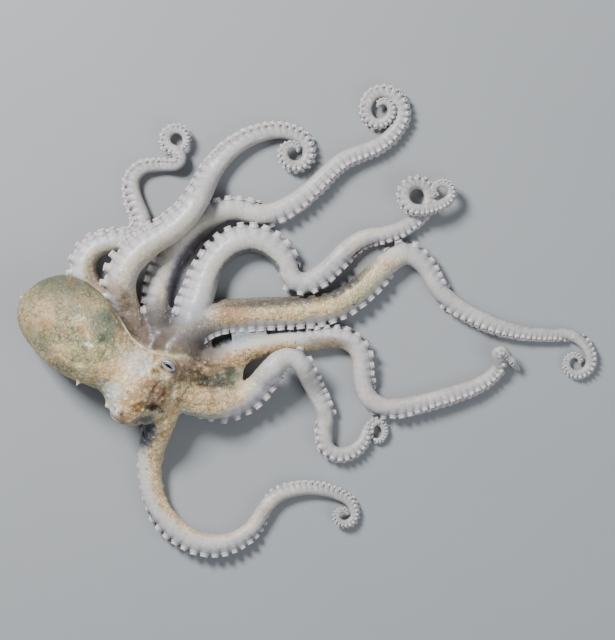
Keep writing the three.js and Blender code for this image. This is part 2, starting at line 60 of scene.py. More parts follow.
# =====================================================================================
# The octopus's own plan, in millimetres, the same numbers as the CAD source has.
# =====================================================================================
STEP, BEND_BLEND, SIT = 0.25, 2.5, 0.12
BODY_ORIGIN, BODY_HEADING, PLACE = (-87.01, 2.66), -32.9, (0.44, -0.48)
EYE_RADIUS = 2.7
EYE_LEFT, EYE_RIGHT = (46.2, 9.9, 17.4), (41.8, -8.9, 15.6)
CROWN = (-41.5 + PLACE[0], -14.6 + PLACE[1])
ARMS = {
    "right_1": dict(start=(-41.70, -17.40), heading=-101.9,
        bends=[[10, -7.7], [8, 0], [15.5, 27.7], [22.5, 56.3], [23.5, 86.6], [5, -6.9], [6.5, -34.7], [19.5, -49.2], [6, -59.5], [7.5, -153], [5.5, -176.9]],
        width=[[0, 10.5], [13, 10.2], [19, 9.3], [29, 7.3], [62, 6.5], [78, 4.9], [104, 3.9], [113, 3.1], [125, 2.0], [129.5, 1.3]],
        lift=[[0, 6], [12, 4], [26, 0], [114, 0], [129.5, 2.4]],
        roll=[[0, 262], [38, 258], [47, 216], [55, 200], [72, 198], [84, 270], [94, 352], [104, 372], [129.5, 384]],
        shift=[[0, -62], [38, -58], [47, -16], [55, 0]],
        band=[[0, 1, 95], [20, 1, 82], [34, .95, 66], [46, .8, 50], [60, .4, 36], [80, .2, 60], [129.5, .12, 60]],
        edge=[[0, 0], [129, 0]]),
    "left_1": dict(start=(-43.17, -17.69), heading=-55.9,
        bends=[[34, 109.5], [7, -2.6], [9.5, -114.5], [14, -1], [4, -32.2], [6.5, 9.9], [6.5, 82.8], [11.5, 79.8], [2.5, -9.2], [5, -120.8], [6, -106.8], [1, -64.1]],
        width=[[0, 9.8], [12, 9.8], [19, 9.4], [36, 7.6], [47, 6.2], [70, 5.2], [85, 4.2], [93, 3.4], [98.5, 2.5], [107.5, 1.3]],
        lift=[[0, 6.4], [14, 4], [26, 1.5], [32, 3], [40, 7.6], [48, 7.6], [61, 0], [95, 0], [107.5, 1.0]],
        roll=[[0, 260], [14, 258], [23, 214], [34, 200], [44, 270], [51, 345], [65, 345], [69, 270], [73, 190], [80, 172], [91, 168], [97, 86], [101, 14], [107.5, 16]],
        shift=[[0, -55], [14, -53], [23, -9], [30, 0]],
        band=[[0, 1, 110], [16, 1, 105], [24, .9, 80], [31, .45, 58], [40, .08, 60], [80, .06, 60], [107, .06, 60]],
        edge=[[0, 0], [107, 0]]),
    "left_3": dict(start=(-42.15, -9.38), heading=59.6,
        bends=[[23, -57.1], [22.5, -0.3], [18, 39.4], [8, 5.9], [8, -14.3], [5, -64.7], [6.5, -29], [5.5, -2.8], [3, 21.6], [39.5, 45.9], [4.5, -29], [8.5, -55.1], [7, -91.7], [7.5, -137.8], [5, -151.6]],
        width=[[0, 9.8], [15, 9.1], [22, 8.7], [46, 8.5], [65, 7.7], [82, 7.0], [92, 5.6], [117, 5.2], [131, 3.9], [147, 3.4], [159, 2.8], [171.5, 1.3]],
        lift=[[0, 4], [14, 1.2], [26, 0], [160, 0], [171.5, 0.8]],
        roll=[[0, 214], [70, 208], [78, 290], [84, 345], [96, 345], [104, 200], [112, 174], [138, 172], [143, 262], [148, 352], [156, 370], [171.5, 376]],
        band=[[0, .3, 95], [10, .9, 100], [20, 1, 102], [60, 1, 98], [70, .85, 78], [78, .35, 56], [84, .08, 50], [104, .08, 60], [171, .05, 60]],
        edge=[[0, 0], [12, .35], [30, .7], [46, 1], [64, 1], [76, 0], [171, 0]]),
    "left_2": dict(start=(-42.31, -14.54), heading=21.6,
        bends=[[8, -16.9], [14, 15.8], [17.5, -17.4], [8, 8], [6.5, -24.4], [10.5, -78], [3, 1], [5, 16.4], [8.5, 64.9], [7.5, 21.8], [18, 5.4], [8, 16.2], [4.5, 22], [3.5, 84], [4.0, -186], [5.8, -6], [1.5, -10]],
        width=[[0, 8.4], [6, 8.4], [15, 7.7], [35, 6.5], [50, 6.5], [65, 6.1], [78, 5.9], [92, 5.5], [106, 4.9], [118, 4.1], [124, 3.3], [127.5, 2.5], [131, 2.1], [135.3, 1.3]],
        lift=[[0, 4], [14, 1.2], [26, 0], [117, 0], [126, 4.8], [130, 3.4], [135.3, 0.4]],
        roll=[[0, -88], [34, -84], [48, -22], [66, -15], [76, -90], [84, -166], [96, -190], [141.7, -196]],
        shift=[[0, 78], [34, 74], [48, 10], [52, 0]],
        band=[[0, 1, 104], [30, 1, 84], [42, .8, 62], [52, .6, 50], [60, .3, 40], [68, .1, 40], [84, .2, 60], [118, .15, 60], [141, .08, 60]],
        edge=[[0, 0], [141, 0]]),
    "left_4": dict(start=(-40.31, -12.56), heading=73.5,
        bends=[[27.5, -2], [10.5, -28.6], [26, -123.5], [2.5, 34], [6.5, 78.1], [11.5, 18.6], [7, -17.6], [7, -28], [17.5, 48], [4, 38.9], [19.5, 267.3], [10, 36.3], [2.5, 50.8], [6.5, 129.1], [3.5, 118.5]],
        width=[[0, 9.8], [8, 10.4], [18, 10.4], [32, 8.6], [44, 8.6], [54, 8.0], [64, 6.6], [75, 6.6], [97, 5.1], [116, 4.2], [130, 3.9], [144, 3.3], [152, 2.6], [162, 1.4]],
        lift=[[0, 3], [14, 0.6], [24, 0], [122, 0], [136, 4.2], [162, 4.6]],
        roll=[[0, -14], [58, -14], [70, -165], [82, -165], [88, -120], [94, -120], [102, -168], [114, -188], [162, -198]],
        band=[[0, .12, 70], [30, .1, 60], [66, .06, 60], [78, .2, 70], [96, .2, 70], [110, .1, 60], [162, .06, 60]],
        edge=[[0, 0], [20, .2], [34, .9], [62, .9], [68, 0], [162, 0]]),
    "right_4": dict(start=(-44.22, -14.30), heading=108.1,
        bends=[[20, -20.3], [23.5, -39.4], [13.5, -30.3], [9, -39.3], [9.5, 45.2], [10, 16.9], [9.5, 6.6], [11, -30.9], [4.5, 6.6], [12, 38.6], [11.5, 102.4], [14, 153.4], [2.5, 52.3], [4, 45.4], [4.5, 82.1], [4, 110.3]],
        width=[[0, 8.4], [15, 8.3], [28, 8.0], [56, 7.0], [74, 6.5], [90, 5.6], [113, 4.7], [130, 4.2], [142, 3.8], [157, 2.7], [163, 1.4]],
        lift=[[0, 1.5], [14, 0], [142, 0], [163, 2.2]],
        roll=[[0, -14], [64, -14], [76, -168], [90, -188], [163, -198]],
        band=[[0, .5, 80], [22, .45, 75], [34, .25, 70], [60, .16, 60], [100, .08, 60], [163, .05, 60]],
        edge=[[0, .8], [8, .95], [48, .85], [56, 0]]),
    "right_3": dict(start=(-46.11, -15.09), heading=129.7,
        bends=[[24.5, -25], [13.5, -56.7], [11.5, -19.3], [21, 41.4], [26.5, -58.6], [10, -40.1], [7.5, -81.4], [9.5, -144.5], [5.5, -110.3], [2.5, -92.2]],
        width=[[0, 8.4], [8, 8.8], [16, 9.2], [24, 9.4], [30, 9.6], [42, 9.0], [61, 7.7], [71, 6.6], [93, 5.2], [108, 4.1], [119, 3.3], [126, 2.8], [132, 1.4]],
        lift=[[0, 0.6], [12, 0], [21, 0.4], [33, 6.6], [63, 7.5], [76, 0], [108, 0], [132, 2.8]],
        roll=[[0, -20], [30, -15], [70, -10], [88, 10], [132, 18]],
        band=[[0, .9, 95], [16, .8, 88], [30, .45, 80], [44, .3, 60], [62, .16, 60], [80, .18, 60], [108, .08, 60], [132, .05, 60]],
        edge=[[0, 0], [132, 0]]),
    "right_2": dict(start=(-48.37, -17.13), heading=122.6,
        bends=[[31.5, 4.7], [6, -20.6], [10.5, -77.6], [8.5, -33.8], [11.5, 120.3], [8.5, -13.4], [9.5, -94.4], [8, -13.2], [1, 30.9], [6, 147.4], [16, -289.7], [4.5, -105]],
        width=[[0, 7.2], [22, 7.3], [31, 7.8], [37, 8.1], [46, 7.3], [56, 6.6], [65, 5.9], [78, 4.8], [86, 4.1], [93, 3.5], [106, 3.1], [114, 2.5], [121, 1.3]],
        lift=[[0, 0.3], [90, 0], [97, 2.4], [105, 1.6], [121, 2.9]],
        roll=[[0, -20], [30, -15], [56, -8], [70, 12], [121, 20]],
        band=[[0, .8, 90], [30, .7, 80], [44, .4, 70], [60, .14, 60], [74, .24, 60], [90, .1, 60], [117, .06, 60]],
        edge=[[0, 0], [117, 0]]),
}
BODY_ROWS = np.array([
    [-3.2, 3.3, 1.8, 7.2, 1.6], [-2.0, 4.0, 5.0, 7.4, 4.4], [0.0, 4.7, 8.3, 7.7, 6.7], [3.2, 5.1, 11.0, 8.3, 8.5],
    [7, 5.2, 12.5, 9.5, 9.6], [11, 5.0, 13.4, 11.3, 10.3], [15.5, 4.5, 13.7, 13.2, 10.7], [20, 4.1, 13.2, 14.6, 10.5],
    [24.5, 3.6, 12.1, 15.2, 10.0], [28.4, 2.8, 10.4, 15.2, 9.2], [32.2, 2.4, 9.3, 14.8, 8.3],
    [35.5, 1.6, 9.8, 14.6, 8.0], [39, 0.7, 11.1, 14.5, 8.3], [43, 0.3, 12.0, 14.3, 8.6],
    [46.5, 1.0, 11.9, 13.6, 8.3], [49.5, 1.6, 10.2, 12.6, 7.4], [52, 2.0, 7.6, 11.6, 6.0], [53.8, 2.2, 3.6, 10.8, 3.4]])
MANTLE_SPIKES = [(-2.4, 3.4, 8.0, (-1, .05, .35), 2.4, 1.1), (25.8, -7.2, 17.2, (.1, -1, .25), 2.6, 1.0)]
HEAD_SPIKES = [(43.5, 8.6, 20.0, (-.1, .55, 1), 3.2, 1.3), (41.0, -8.2, 20.2, (-.1, -.55, 1), 3.2, 1.3),
               (36.8, -8.4, 15.5, (.1, -1, .3), 2.2, .9)]
WEBS = [("left_1", 28, "left_2", 31, 4.6), ("left_4", 22, "right_4", 22, 3.6), ("right_4", 19, "right_3", 20, 3.2),
        ("left_2", 16, "left_3", 18, 4.0), ("left_3", 24, "left_4", 23, 4.4), ("right_1", 16, "left_1", 16, 6.0)]
FUNNEL = dict(a=(-60.2, -12.9, 3.4), b=(-51.0, -21.6, 2.9), r0=3.3, r1=2.0, bore=1.25, depth=3.2)

rad = math.pi / 180
BX = np.array([math.cos(BODY_HEADING * rad), math.sin(BODY_HEADING * rad), 0.0])
BY = np.array([-math.sin(BODY_HEADING * rad), math.cos(BODY_HEADING * rad), 0.0])
ORIGIN = np.array([BODY_ORIGIN[0] + PLACE[0], BODY_ORIGIN[1] + PLACE[1], 0.0])


def body_point(along, across, up):
    return ORIGIN + BX * along + BY * across + np.array([0, 0, up])


def body_dir(along, across, up):
    v = BX * along + BY * across + np.array([0, 0, up])
    return v / np.linalg.norm(v)


def knots(table, s, column=1):
    t = np.array([r[0] for r in table], float)
    return np.interp(s, t, [r[column] for r in table])


def eased(table, s):
    t = np.array([r[0] for r in table], float)
    v = np.array([r[1] for r in table], float)
    i = np.clip(np.searchsorted(t, s, side="left"), 1, len(t) - 1)
    u = np.clip((s - t[i - 1]) / (t[i] - t[i - 1]), 0, 1)
    u = u * u * (3 - 2 * u)
    return v[i - 1] + u * (v[i] - v[i - 1])


def smooth01(a, b, x):
    u = np.clip((x - a) / (b - a), 0, 1)
    return u * u * (3 - 2 * u)


def arm_path(arm):
    ks = np.concatenate([[0], np.cumsum([b[0] for b in arm["bends"]])])
    kt = np.concatenate([[0], np.cumsum([b[1] for b in arm["bends"]])])
    first = arm["bends"][0][1] / arm["bends"][0][0]
    last = arm["bends"][-1][1] / arm["bends"][-1][0]

    def turn(s):
        return np.where(s < 0, first * s, np.where(s > ks[-1], kt[-1] + last * (s - ks[-1]), np.interp(s, ks, kt)))
    e = np.arange(-BEND_BLEND / 2, BEND_BLEND / 2 + 1e-9, STEP)

    def heading(s):
        return arm["heading"] + turn(s[:, None] + e[None, :]).mean(1)
    n = int(round(ks[-1] / STEP))
    s = np.arange(n + 1) * STEP
    h = heading(s) * rad
    hm = heading(s[:-1] + STEP / 2) * rad
    x = arm["start"][0] + PLACE[0] + np.concatenate([[0], np.cumsum(np.cos(hm) * STEP)])
    y = arm["start"][1] + PLACE[1] + np.concatenate([[0], np.cumsum(np.sin(hm) * STEP)])
    w = knots(arm["width"], s)
    z = 0.476 * w - SIT + eased(arm["lift"], s)
    c = np.stack([x, y, z], 1)
    slope = np.gradient(z, s)
    T = np.stack([np.cos(h), np.sin(h), slope], 1)
    T /= np.linalg.norm(T, axis=1, keepdims=True)
    N = np.stack([-np.sin(h), np.cos(h), 0 * h], 1)
    B = np.cross(T, N)
    phi = eased(arm["roll"], s) * rad
    O = np.cos(phi)[:, None] * N + np.sin(phi)[:, None] * B      # towards the suckers
    P = -np.sin(phi)[:, None] * N + np.cos(phi)[:, None] * B     # across the rows
    R = w / 2
    pitch = np.clip(0.42 * w, 0.80, 3.0)                          # from sucker to sucker in one row
    psi = np.concatenate([[0], np.cumsum((1 / pitch[1:] + 1 / pitch[:-1]) / 2 * STEP)])
    return dict(s=s, c=c, R=R, T=T, N=N, B=B, O=O, P=P, w=w, pitch=pitch, psi=psi, end=s[-1],
                shift=knots(arm.get("shift", [[0, 0]]), s), band=knots(arm["band"], s, 1), bandw=knots(arm["band"], s, 2), edge=knots(arm["edge"], s, 1))


PATHS = {k: arm_path(a) for k, a in ARMS.items()}
NAMES = list(ARMS)

# =====================================================================================
# The skin: one distance field for the whole body, then one closed mesh of it.
# =====================================================================================
H = 0.30
PAD = 3 * H + 1.2
LO = np.array([-88.77 - 2.2, -71.95 - 2.2, -PAD])
HI = np.array([88.77 + 2.2, 71.95 + 2.2, 25.2 + 2.2])
NX, NY, NZ = [int(math.ceil(v)) + 1 for v in (HI - LO) / H]
GX, GY, GZ = [(LO[i] + H * np.arange(n)).astype(np.float32) for i, n in enumerate((NX, NY, NZ))]
FAR = 3.0
D = np.full((NX, NY, NZ), FAR, np.float32)


def span(lo, hi):
    """Slices of the grid that cover the box lo..hi."""
    a = np.clip(np.floor((np.asarray(lo) - LO) / H).astype(int), 0, [NX - 1, NY - 1, NZ - 1])
    b = np.clip(np.ceil((np.asarray(hi) - LO) / H).astype(int) + 1, 1, [NX, NY, NZ])
    return slice(a[0], b[0]), slice(a[1], b[1]), slice(a[2], b[2])


def smin(a, b, k):
    h = np.maximum(k - np.abs(a - b), 0) / k
    return np.minimum(a, b) - h * h * k * 0.25


def axes(sl):
    return GX[sl[0]][:, None, None], GY[sl[1]][None, :, None], GZ[sl[2]][None, None, :]


# the section of an arm in polar form about its centre line, for a radius of 1: a round
# back, and a flatter side that carries the suckers
_th = np.linspace(-math.pi, math.pi, 721)
_a, _b, _e = 0.885, 0.945, 0.115
_c, _s = np.cos(_th), np.sin(_th)
_A = _c ** 2 / _a ** 2 + _s ** 2 / _b ** 2
_Bq = _e * _c / _a ** 2
SECTION = ((-_Bq + np.sqrt(_Bq ** 2 - _A * (_e ** 2 / _a ** 2 - 1))) / _A).astype(np.float32)
ROW = 33 * rad      # the two rows of suckers stand this far to each side of the middle


def lookup(table, th):
    i = (th + math.pi) * (720 / (2 * math.pi))
    return table[np.clip(i.astype(np.int32), 0, 720)]


def arm_local(p, idx, path):
    """Distance along, angle about (0 towards the suckers) and distance from the centre line."""
    t = np.einsum("ij,ij->i", p - path["c32"][idx], path["T32"][idx])
    f = np.clip(idx + t / STEP, 0, len(path["s"]) - 1).astype(np.float32)
    j = np.minimum(f.astype(np.int32), len(path["s"]) - 2)
    u = (f - j)[:, None]
    c = path["c32"][j] * (1 - u) + path["c32"][j + 1] * u
    q = p - c
    O, P = path["O32"][j], path["P32"][j]
    qo, qp = np.einsum("ij,ij->i", q, O), np.einsum("ij,ij->i", q, P)
    rho = np.sqrt(np.einsum("ij,ij->i", q, q))
    return f, qo, qp, rho


def mound(R):
    """How far the flesh rises under each sucker."""
    return 0.25 * R * smooth01(0.55, 1.2, R)


for P_ in PATHS.values():
    for k in ("c", "T", "O", "P"):
        P_[k + "32"] = P_[k].astype(np.float32)

# the thin skirt of web along some arms: from, to, width, and side (0 away from the suckers, 1 left of the way it runs)
FINS = {"right_4": [(-4, 58, 4.6, 0)], "left_3": [(8, 74, 0.7, 0)], "left_4": [(33, 65, 0.45, 0)], "left_2": [(10, 62, 1.9, 1)]}


def capsule(grid_sl, a, b, ra, rb=None):
    """Distance to a rod from a to b whose radius goes from ra to rb."""
    x, y, z = axes(grid_sl)
    a, b = np.asarray(a, float), np.asarray(b, float)
    rb = ra if rb is None else rb
    ab = b - a
    t = np.clip(((x - a[0]) * ab[0] + (y - a[1]) * ab[1] + (z - a[2]) * ab[2]) / (ab @ ab), 0, 1)
    return np.sqrt((x - a[0] - t * ab[0]) ** 2 + (y - a[1] - t * ab[1]) ** 2 + (z - a[2] - t * ab[2]) ** 2) - (ra + t * (rb - ra))


say("grid", NX, NY, NZ)
for name in NAMES:
    path = PATHS[name]
    reach = path["R"].max() + FAR
    sl = span(path["c"].min(0) - reach, path["c"].max(0) + reach)
    o = [s_.start for s_ in sl]
    shape = tuple(s_.stop - s_.start for s_ in sl)
    best = np.full(shape, FAR, np.float32)
    which = np.zeros(shape, np.int16)
    for i in range(0, len(path["s"]), 2):
        c, r = path["c"][i], path["R"][i]
        w = span(c - r - 2.2, c + r + 2.2)
        lw = tuple(slice(w[k].start - o[k], w[k].stop - o[k]) for k in range(3))
        x, y, z = axes(w)
        m = np.sqrt((x - np.float32(c[0])) ** 2 + (y - np.float32(c[1])) ** 2 + (z - np.float32(c[2])) ** 2) - np.float32(r)
        b = best[lw]
        closer = m < b
        b[closer] = m[closer]
        which[lw][closer] = i
    near = np.nonzero((best < 2.0).ravel())[0]
    ijk = np.unravel_index(near, shape)
    p = np.stack([GX[sl[0]][ijk[0]], GY[sl[1]][ijk[1]], GZ[sl[2]][ijk[2]]], 1)
    f, qo, qp, rho = arm_local(p, which.ravel()[near].astype(np.int32), path)
    th = np.arctan2(qp, qo)
    R = np.interp(f, np.arange(len(path["s"])), path["R"]).astype(np.float32)
    psi = np.interp(f, np.arange(len(path["s"])), path["psi"]).astype(np.float32)
    pitch = np.interp(f, np.arange(len(path["s"])), path["pitch"]).astype(np.float32)
    surf = lookup(SECTION, th) * R
    # a low mound under each sucker
    for sign, shift in ((1, 0.0), (-1, 0.5)):
        along = (((psi - shift + 0.5) % 1.0) - 0.5) * pitch
        across = (np.abs(th - sign * ROW)) * surf
        sig = 0.36 * pitch
        surf = surf + mound(R) * np.exp(-(along ** 2 + across ** 2) / (2 * sig ** 2))
    d = (rho - surf) * 0.96
    flat = best.ravel()
    flat[near] = d
    best = flat.reshape(shape)
    path["which"], path["slice"] = which, sl
    for s0, s1, wide, hand in FINS.get(name, ()):
        for i in range(max(int(s0 / STEP), 0), int(s1 / STEP), 2):
            u = (i * STEP - s0) / (s1 - s0)
            out = path["N"][i] * hand if hand else -path["O"][i] * [1, 1, 0]
            ln = np.linalg.norm(out)
            if ln < 0.3:
                continue
            out /= ln
            grow = wide * smooth01(0, 0.18, u) * smooth01(1, 0.62, u) * (1 + 0.10 * math.sin(i * 0.11))
            c, r = path["c"][i], path["R"][i]
            a = c + out * r * 0.3 - [0, 0, r * 0.15]
            b = c + out * (r * 0.93 + grow)
            b[2] = max(0.55, c[2] - r * (0.35 + 0.35 * smooth01(0, 3, grow)))
            w = span(np.minimum(a, b) - 1.6, np.maximum(a, b) + 1.6)
            w = tuple(slice(max(w[k].start, o[k]), min(w[k].stop, o[k] + shape[k])) for k in range(3))
            lw = tuple(slice(w[k].start - o[k], w[k].stop - o[k]) for k in range(3))
            d_ = capsule(w, a, b, 0.55, 0.34).astype(np.float32)
            best[lw] = smin(best[lw], d_, np.float32(0.5))
    # close to the ring of arms neighbours run into each other, further out they only touch
    far = np.sqrt((GX[sl[0]][:, None] - CROWN[0]) ** 2 + (GY[sl[1]][None, :] - CROWN[1]) ** 2)
    k = (0.35 + 2.3 * (1 - smooth01(11, 25, far))).astype(np.float32)[:, :, None]
    D[sl] = smin(D[sl], best, k)
say("arms")

# ---- mantle and head
_t = np.arange(-8, 60, 0.05)


def row_of(column, power=1.0):
    v = BODY_ROWS[:, column] ** power
    t = BODY_ROWS[:, 0]
    out = np.interp(_t, t, v)
    lo, hi = _t < t[0], _t > t[-1]
    if power != 1.0:
        out[lo] = v[0] + (_t[lo] - t[0]) * (v[1] - v[0]) / (t[1] - t[0]) * 1.5
        out[hi] = v[-1] + (_t[hi] - t[-1]) * (v[-1] - v[-2]) / (t[-1] - t[-2]) * 1.2
    g = np.exp(-0.5 * (np.arange(-60, 61) * 0.05 / 1.0) ** 2)
    g /= g.sum()
    padded = np.concatenate([np.full(60, out[0]), out, np.full(60, out[-1])])
    return np.convolve(padded, g, "valid")


OFF, ZC = row_of(1), row_of(3)
W2 = row_of(2, 2.0)
ASPECT = np.convolve(np.pad(np.interp(_t, BODY_ROWS[:, 0], BODY_ROWS[:, 2] / BODY_ROWS[:, 4]), 20, mode="edge"), np.ones(41) / 41, "valid")


def body_coords(x, y):
    dx, dy = x - ORIGIN[0], y - ORIGIN[1]
    return dx * BX[0] + dy * BX[1], dx * BY[0] + dy * BY[1]


corners = np.array([body_point(a, b, z) for a in (-8, 60) for b in (-16, 22) for z in (-2, 27)])
sl = span(corners.min(0), corners.max(0))
x, y, z = axes(sl)
ta, ac = body_coords(x[:, :, 0], y[:, :, 0])
off, zc, asp, w2 = (np.interp(ta, _t, v) for v in (OFF, ZC, ASPECT, W2))
F = (np.sqrt(((ac - off) ** 2)[:, :, None] + ((z - zc[:, :, None]) * asp[:, :, None]) ** 2 + 4)
     - np.sqrt(np.maximum(w2 + 4, 0.0))[:, :, None]).astype(np.float32)
gx, gy, gz = np.gradient(F, H)
G = np.sqrt(gx * gx + gy * gy + gz * gz)
body = (F / np.maximum(G, 0.3)).astype(np.float32)
body = np.clip(body, -FAR * 2, FAR)
del gx, gy, gz, G, F


def ellipsoid(grid_sl, c, r, turn=None):
    """Distance to an ellipsoid; turn gives its own axes as rows."""
    x, y, z = axes(grid_sl)
    q = [x - c[0], y - c[1], z - c[2]]
    if turn is not None:
        q = [turn[i][0] * q[0] + turn[i][1] * q[1] + turn[i][2] * q[2] for i in range(3)]
    k0 = np.sqrt(sum((q[i] / r[i]) ** 2 for i in range(3)))
    k1 = np.sqrt(sum((q[i] / r[i] ** 2) ** 2 for i in range(3))) + 1e-6
    return k0 * (k0 - 1) / k1


def blend_in(field, field_sl, shape_lo, shape_hi, make, k):
    """Smoothly joins a shape into field, inside the box shape_lo..shape_hi."""
    w = span(np.asarray(shape_lo) - 2.5, np.asarray(shape_hi) + 2.5)
    w = tuple(slice(max(w[i].start, field_sl[i].start), min(w[i].stop, field_sl[i].stop)) for i in range(3))
    if any(v.stop <= v.start for v in w):
        return
    lw = tuple(slice(w[i].start - field_sl[i].start, w[i].stop - field_sl[i].start) for i in range(3))
    field[lw] = smin(field[lw], make(w).astype(np.float32), k)


def carve_out(field, field_sl, shape_lo, shape_hi, make, k):
    w = span(np.asarray(shape_lo) - 1.5, np.asarray(shape_hi) + 1.5)
    w = tuple(slice(max(w[i].start, field_sl[i].start), min(w[i].stop, field_sl[i].stop)) for i in range(3))
    lw = tuple(slice(w[i].start - field_sl[i].start, w[i].stop - field_sl[i].start) for i in range(3))
    field[lw] = -smin(-field[lw], make(w).astype(np.float32), k)


body_sl = sl
EYES = []
for side, at in (("left", EYE_LEFT), ("right", EYE_RIGHT)):
    c = body_point(*at)
    inward = body_point(44, 0.5, 13.5) - c
    inward /= np.linalg.norm(inward)
    out = body_dir(0.02, 0.36, 1.0) if side == "left" else body_dir(0.05, -1.0, 0.12)
    EYES.append(dict(side=side, c=c, out=out))
    e = c + inward * 2.1
    blend_in(body, body_sl, e - 5, e + 5, lambda w, e=e: ellipsoid(w, e, (4.2, 4.2, 3.8)), 1.6)

for along, across, up, lean, length, foot in MANTLE_SPIKES + HEAD_SPIKES:
    a = body_point(along, across, up)
    d = body_dir(*lean)
    tip = a + d * (length - 0.25)
    a = a - d * 0.6
    blend_in(body, body_sl, np.minimum(a, tip) - foot, np.maximum(a, tip) + foot,
             lambda w, a=a, b=tip, f=foot: capsule(w, a, b, f * 0.95, 0.22), 1.3)
fa, fb = np.array(FUNNEL["a"]), np.array(FUNNEL["b"])
fd = (fb - fa) / np.linalg.norm(fb - fa)
blend_in(body, body_sl, np.minimum(fa, fb) - 3.5, np.maximum(fa, fb) + 3.5,
         lambda w: capsule(w, fa, fb - fd * FUNNEL["r1"] * 0.6, FUNNEL["r0"], FUNNEL["r1"]), 1.4)
carve_out(body, body_sl, fb - fd * FUNNEL["depth"] - 2, fb + fd * 2 + 2,
          lambda w: capsule(w, fb - fd * FUNNEL["depth"], fb + fd * 2, FUNNEL["bore"]), 0.7)
say("body")

# ---- the dome over the mouth, with the head and the roots of the arms
dome = ellipsoid(body_sl, (CROWN[0], CROWN[1], 5.0), (9.8, 10.2, 5.0)).astype(np.float32)
root = smin(D[body_sl], dome, 2.0)
far = np.sqrt((GX[body_sl[0]][:, None] - CROWN[0] + 1) ** 2 + (GY[body_sl[1]][None, :] - CROWN[1]) ** 2)
k = (0.4 + 1.6 * (1 - smooth01(9, 17, far))).astype(np.float32)[:, :, None]
D[body_sl] = smin(root, body, k)
BODY_FIELD, BODY_SL = body, body_sl
del dome, root

# ---- webs between neighbouring arms
def polygon_distance(px, py, poly):
    """Signed distance in the plane to a closed polygon."""
    d = np.full(px.shape, 1e9)
    sign = np.ones(px.shape)
    n = len(poly)
    for i in range(n):
        a, b = poly[i], poly[(i + 1) % n]
        ex, ey = b[0] - a[0], b[1] - a[1]
        wx, wy = px - a[0], py - a[1]
        t = np.clip((wx * ex + wy * ey) / (ex * ex + ey * ey + 1e-12), 0, 1)
        d = np.minimum(d, (wx - ex * t) ** 2 + (wy - ey * t) ** 2)
        c1, c2 = a[1] <= py, b[1] > py
        cross = ex * wy - ey * wx
        flip = (c1 & c2 & (cross > 0)) | (~c1 & ~c2 & (cross < 0))
        sign = np.where(flip, -sign, sign)
    return sign * np.sqrt(d)


WEB_POLYS = []
for a, sa, b, sb, up in WEBS:
    pa_, pb_ = PATHS[a], PATHS[b]
    ia, ib = int(round(sa / STEP)), int(round(sb / STEP))
    pa, pb = pa_["c"][ia], pb_["c"][ib]
    ha, hb = pa_["c"][int(ia * 0.55)], pb_["c"][int(ib * 0.55)]
    mid = (pa + pb) / 2
    mid = mid + 0.34 * (np.array([CROWN[0], CROWN[1], mid[2]]) - mid)
    poly = [(CROWN[0], CROWN[1]), ha[:2], pa[:2]]
    for j in range(1, 12):
        t = j / 12
        poly.append(((1 - t) ** 2 * pa + 2 * t * (1 - t) * mid + t * t * pb)[:2])
    poly += [pb[:2], hb[:2]]
    poly = np.array([np.asarray(q, float) for q in poly])
    WEB_POLYS.append((poly, pa, pb, ha, hb))
    lo = np.array([*poly.min(0), -1.0]) - 3
    hi = np.array([*poly.max(0), 13.0]) + 1
    w = span(lo, hi)
    x, y, z = axes(w)
    px, py = np.broadcast_arrays(x[:, :, 0], y[:, :, 0])
    d2 = polygon_distance(px, py, poly)
    # its height goes with the two arms it hangs between
    wa = 1 / (np.hypot(px - pa[0], py - pa[1]) + 1)
    wb = 1 / (np.hypot(px - pb[0], py - pb[1]) + 1)
    wc = 1 / (np.hypot(px - CROWN[0], py - CROWN[1]) + 1)
    z0 = (wa * min(pa[2] + 0.6, up + 1.5) + wb * min(pb[2] + 0.6, up + 1.5) + wc * 6.5) / (wa + wb + wc)
    thick = 0.55 + 0.5 * smooth01(0, -8, d2)
    web = np.maximum(d2[:, :, None], np.abs(z - z0[:, :, None]) - thick[:, :, None])
    out = np.sqrt(np.maximum(d2[:, :, None], 0) ** 2 + np.maximum(np.abs(z - z0[:, :, None]) - thick[:, :, None], 0) ** 2)
    web = np.where(web < 0, web, out)
    D[w] = smin(D[w], web.astype(np.float32), np.float32(1.3))
# further out the skins of left_2 and left_3 lie together, past a small opening
side_a = [PATHS["left_2"]["c"][int(round(q / STEP))] for q in (19.5, 23, 27, 30)]
side_b = [PATHS["left_3"]["c"][int(round(q / STEP))] for q in (33.5, 30, 26, 22)]
poly = np.array([q[:2] for q in side_a + side_b])
w = span(np.array([*poly.min(0), -1.0]) - 3, np.array([*poly.max(0), 9.0]) + 1)
x, y, z = axes(w)
px, py = np.broadcast_arrays(x[:, :, 0], y[:, :, 0])
d2 = polygon_distance(px, py, poly)
to_a = np.min([np.hypot(px - q[0], py - q[1]) for q in side_a], 0)
to_b = np.min([np.hypot(px - q[0], py - q[1]) for q in side_b], 0)
z0 = ((side_a[1][2] + 0.4) * to_b + (side_b[1][2] + 0.2) * to_a) / (to_a + to_b + 0.01)
step_ = np.abs(z - z0[:, :, None]) - 0.7
web = np.maximum(d2[:, :, None], step_)
web = np.where(web < 0, web, np.sqrt(np.maximum(d2[:, :, None], 0) ** 2 + np.maximum(step_, 0) ** 2))
D[w] = smin(D[w], web.astype(np.float32), np.float32(1.3))
say("webs")

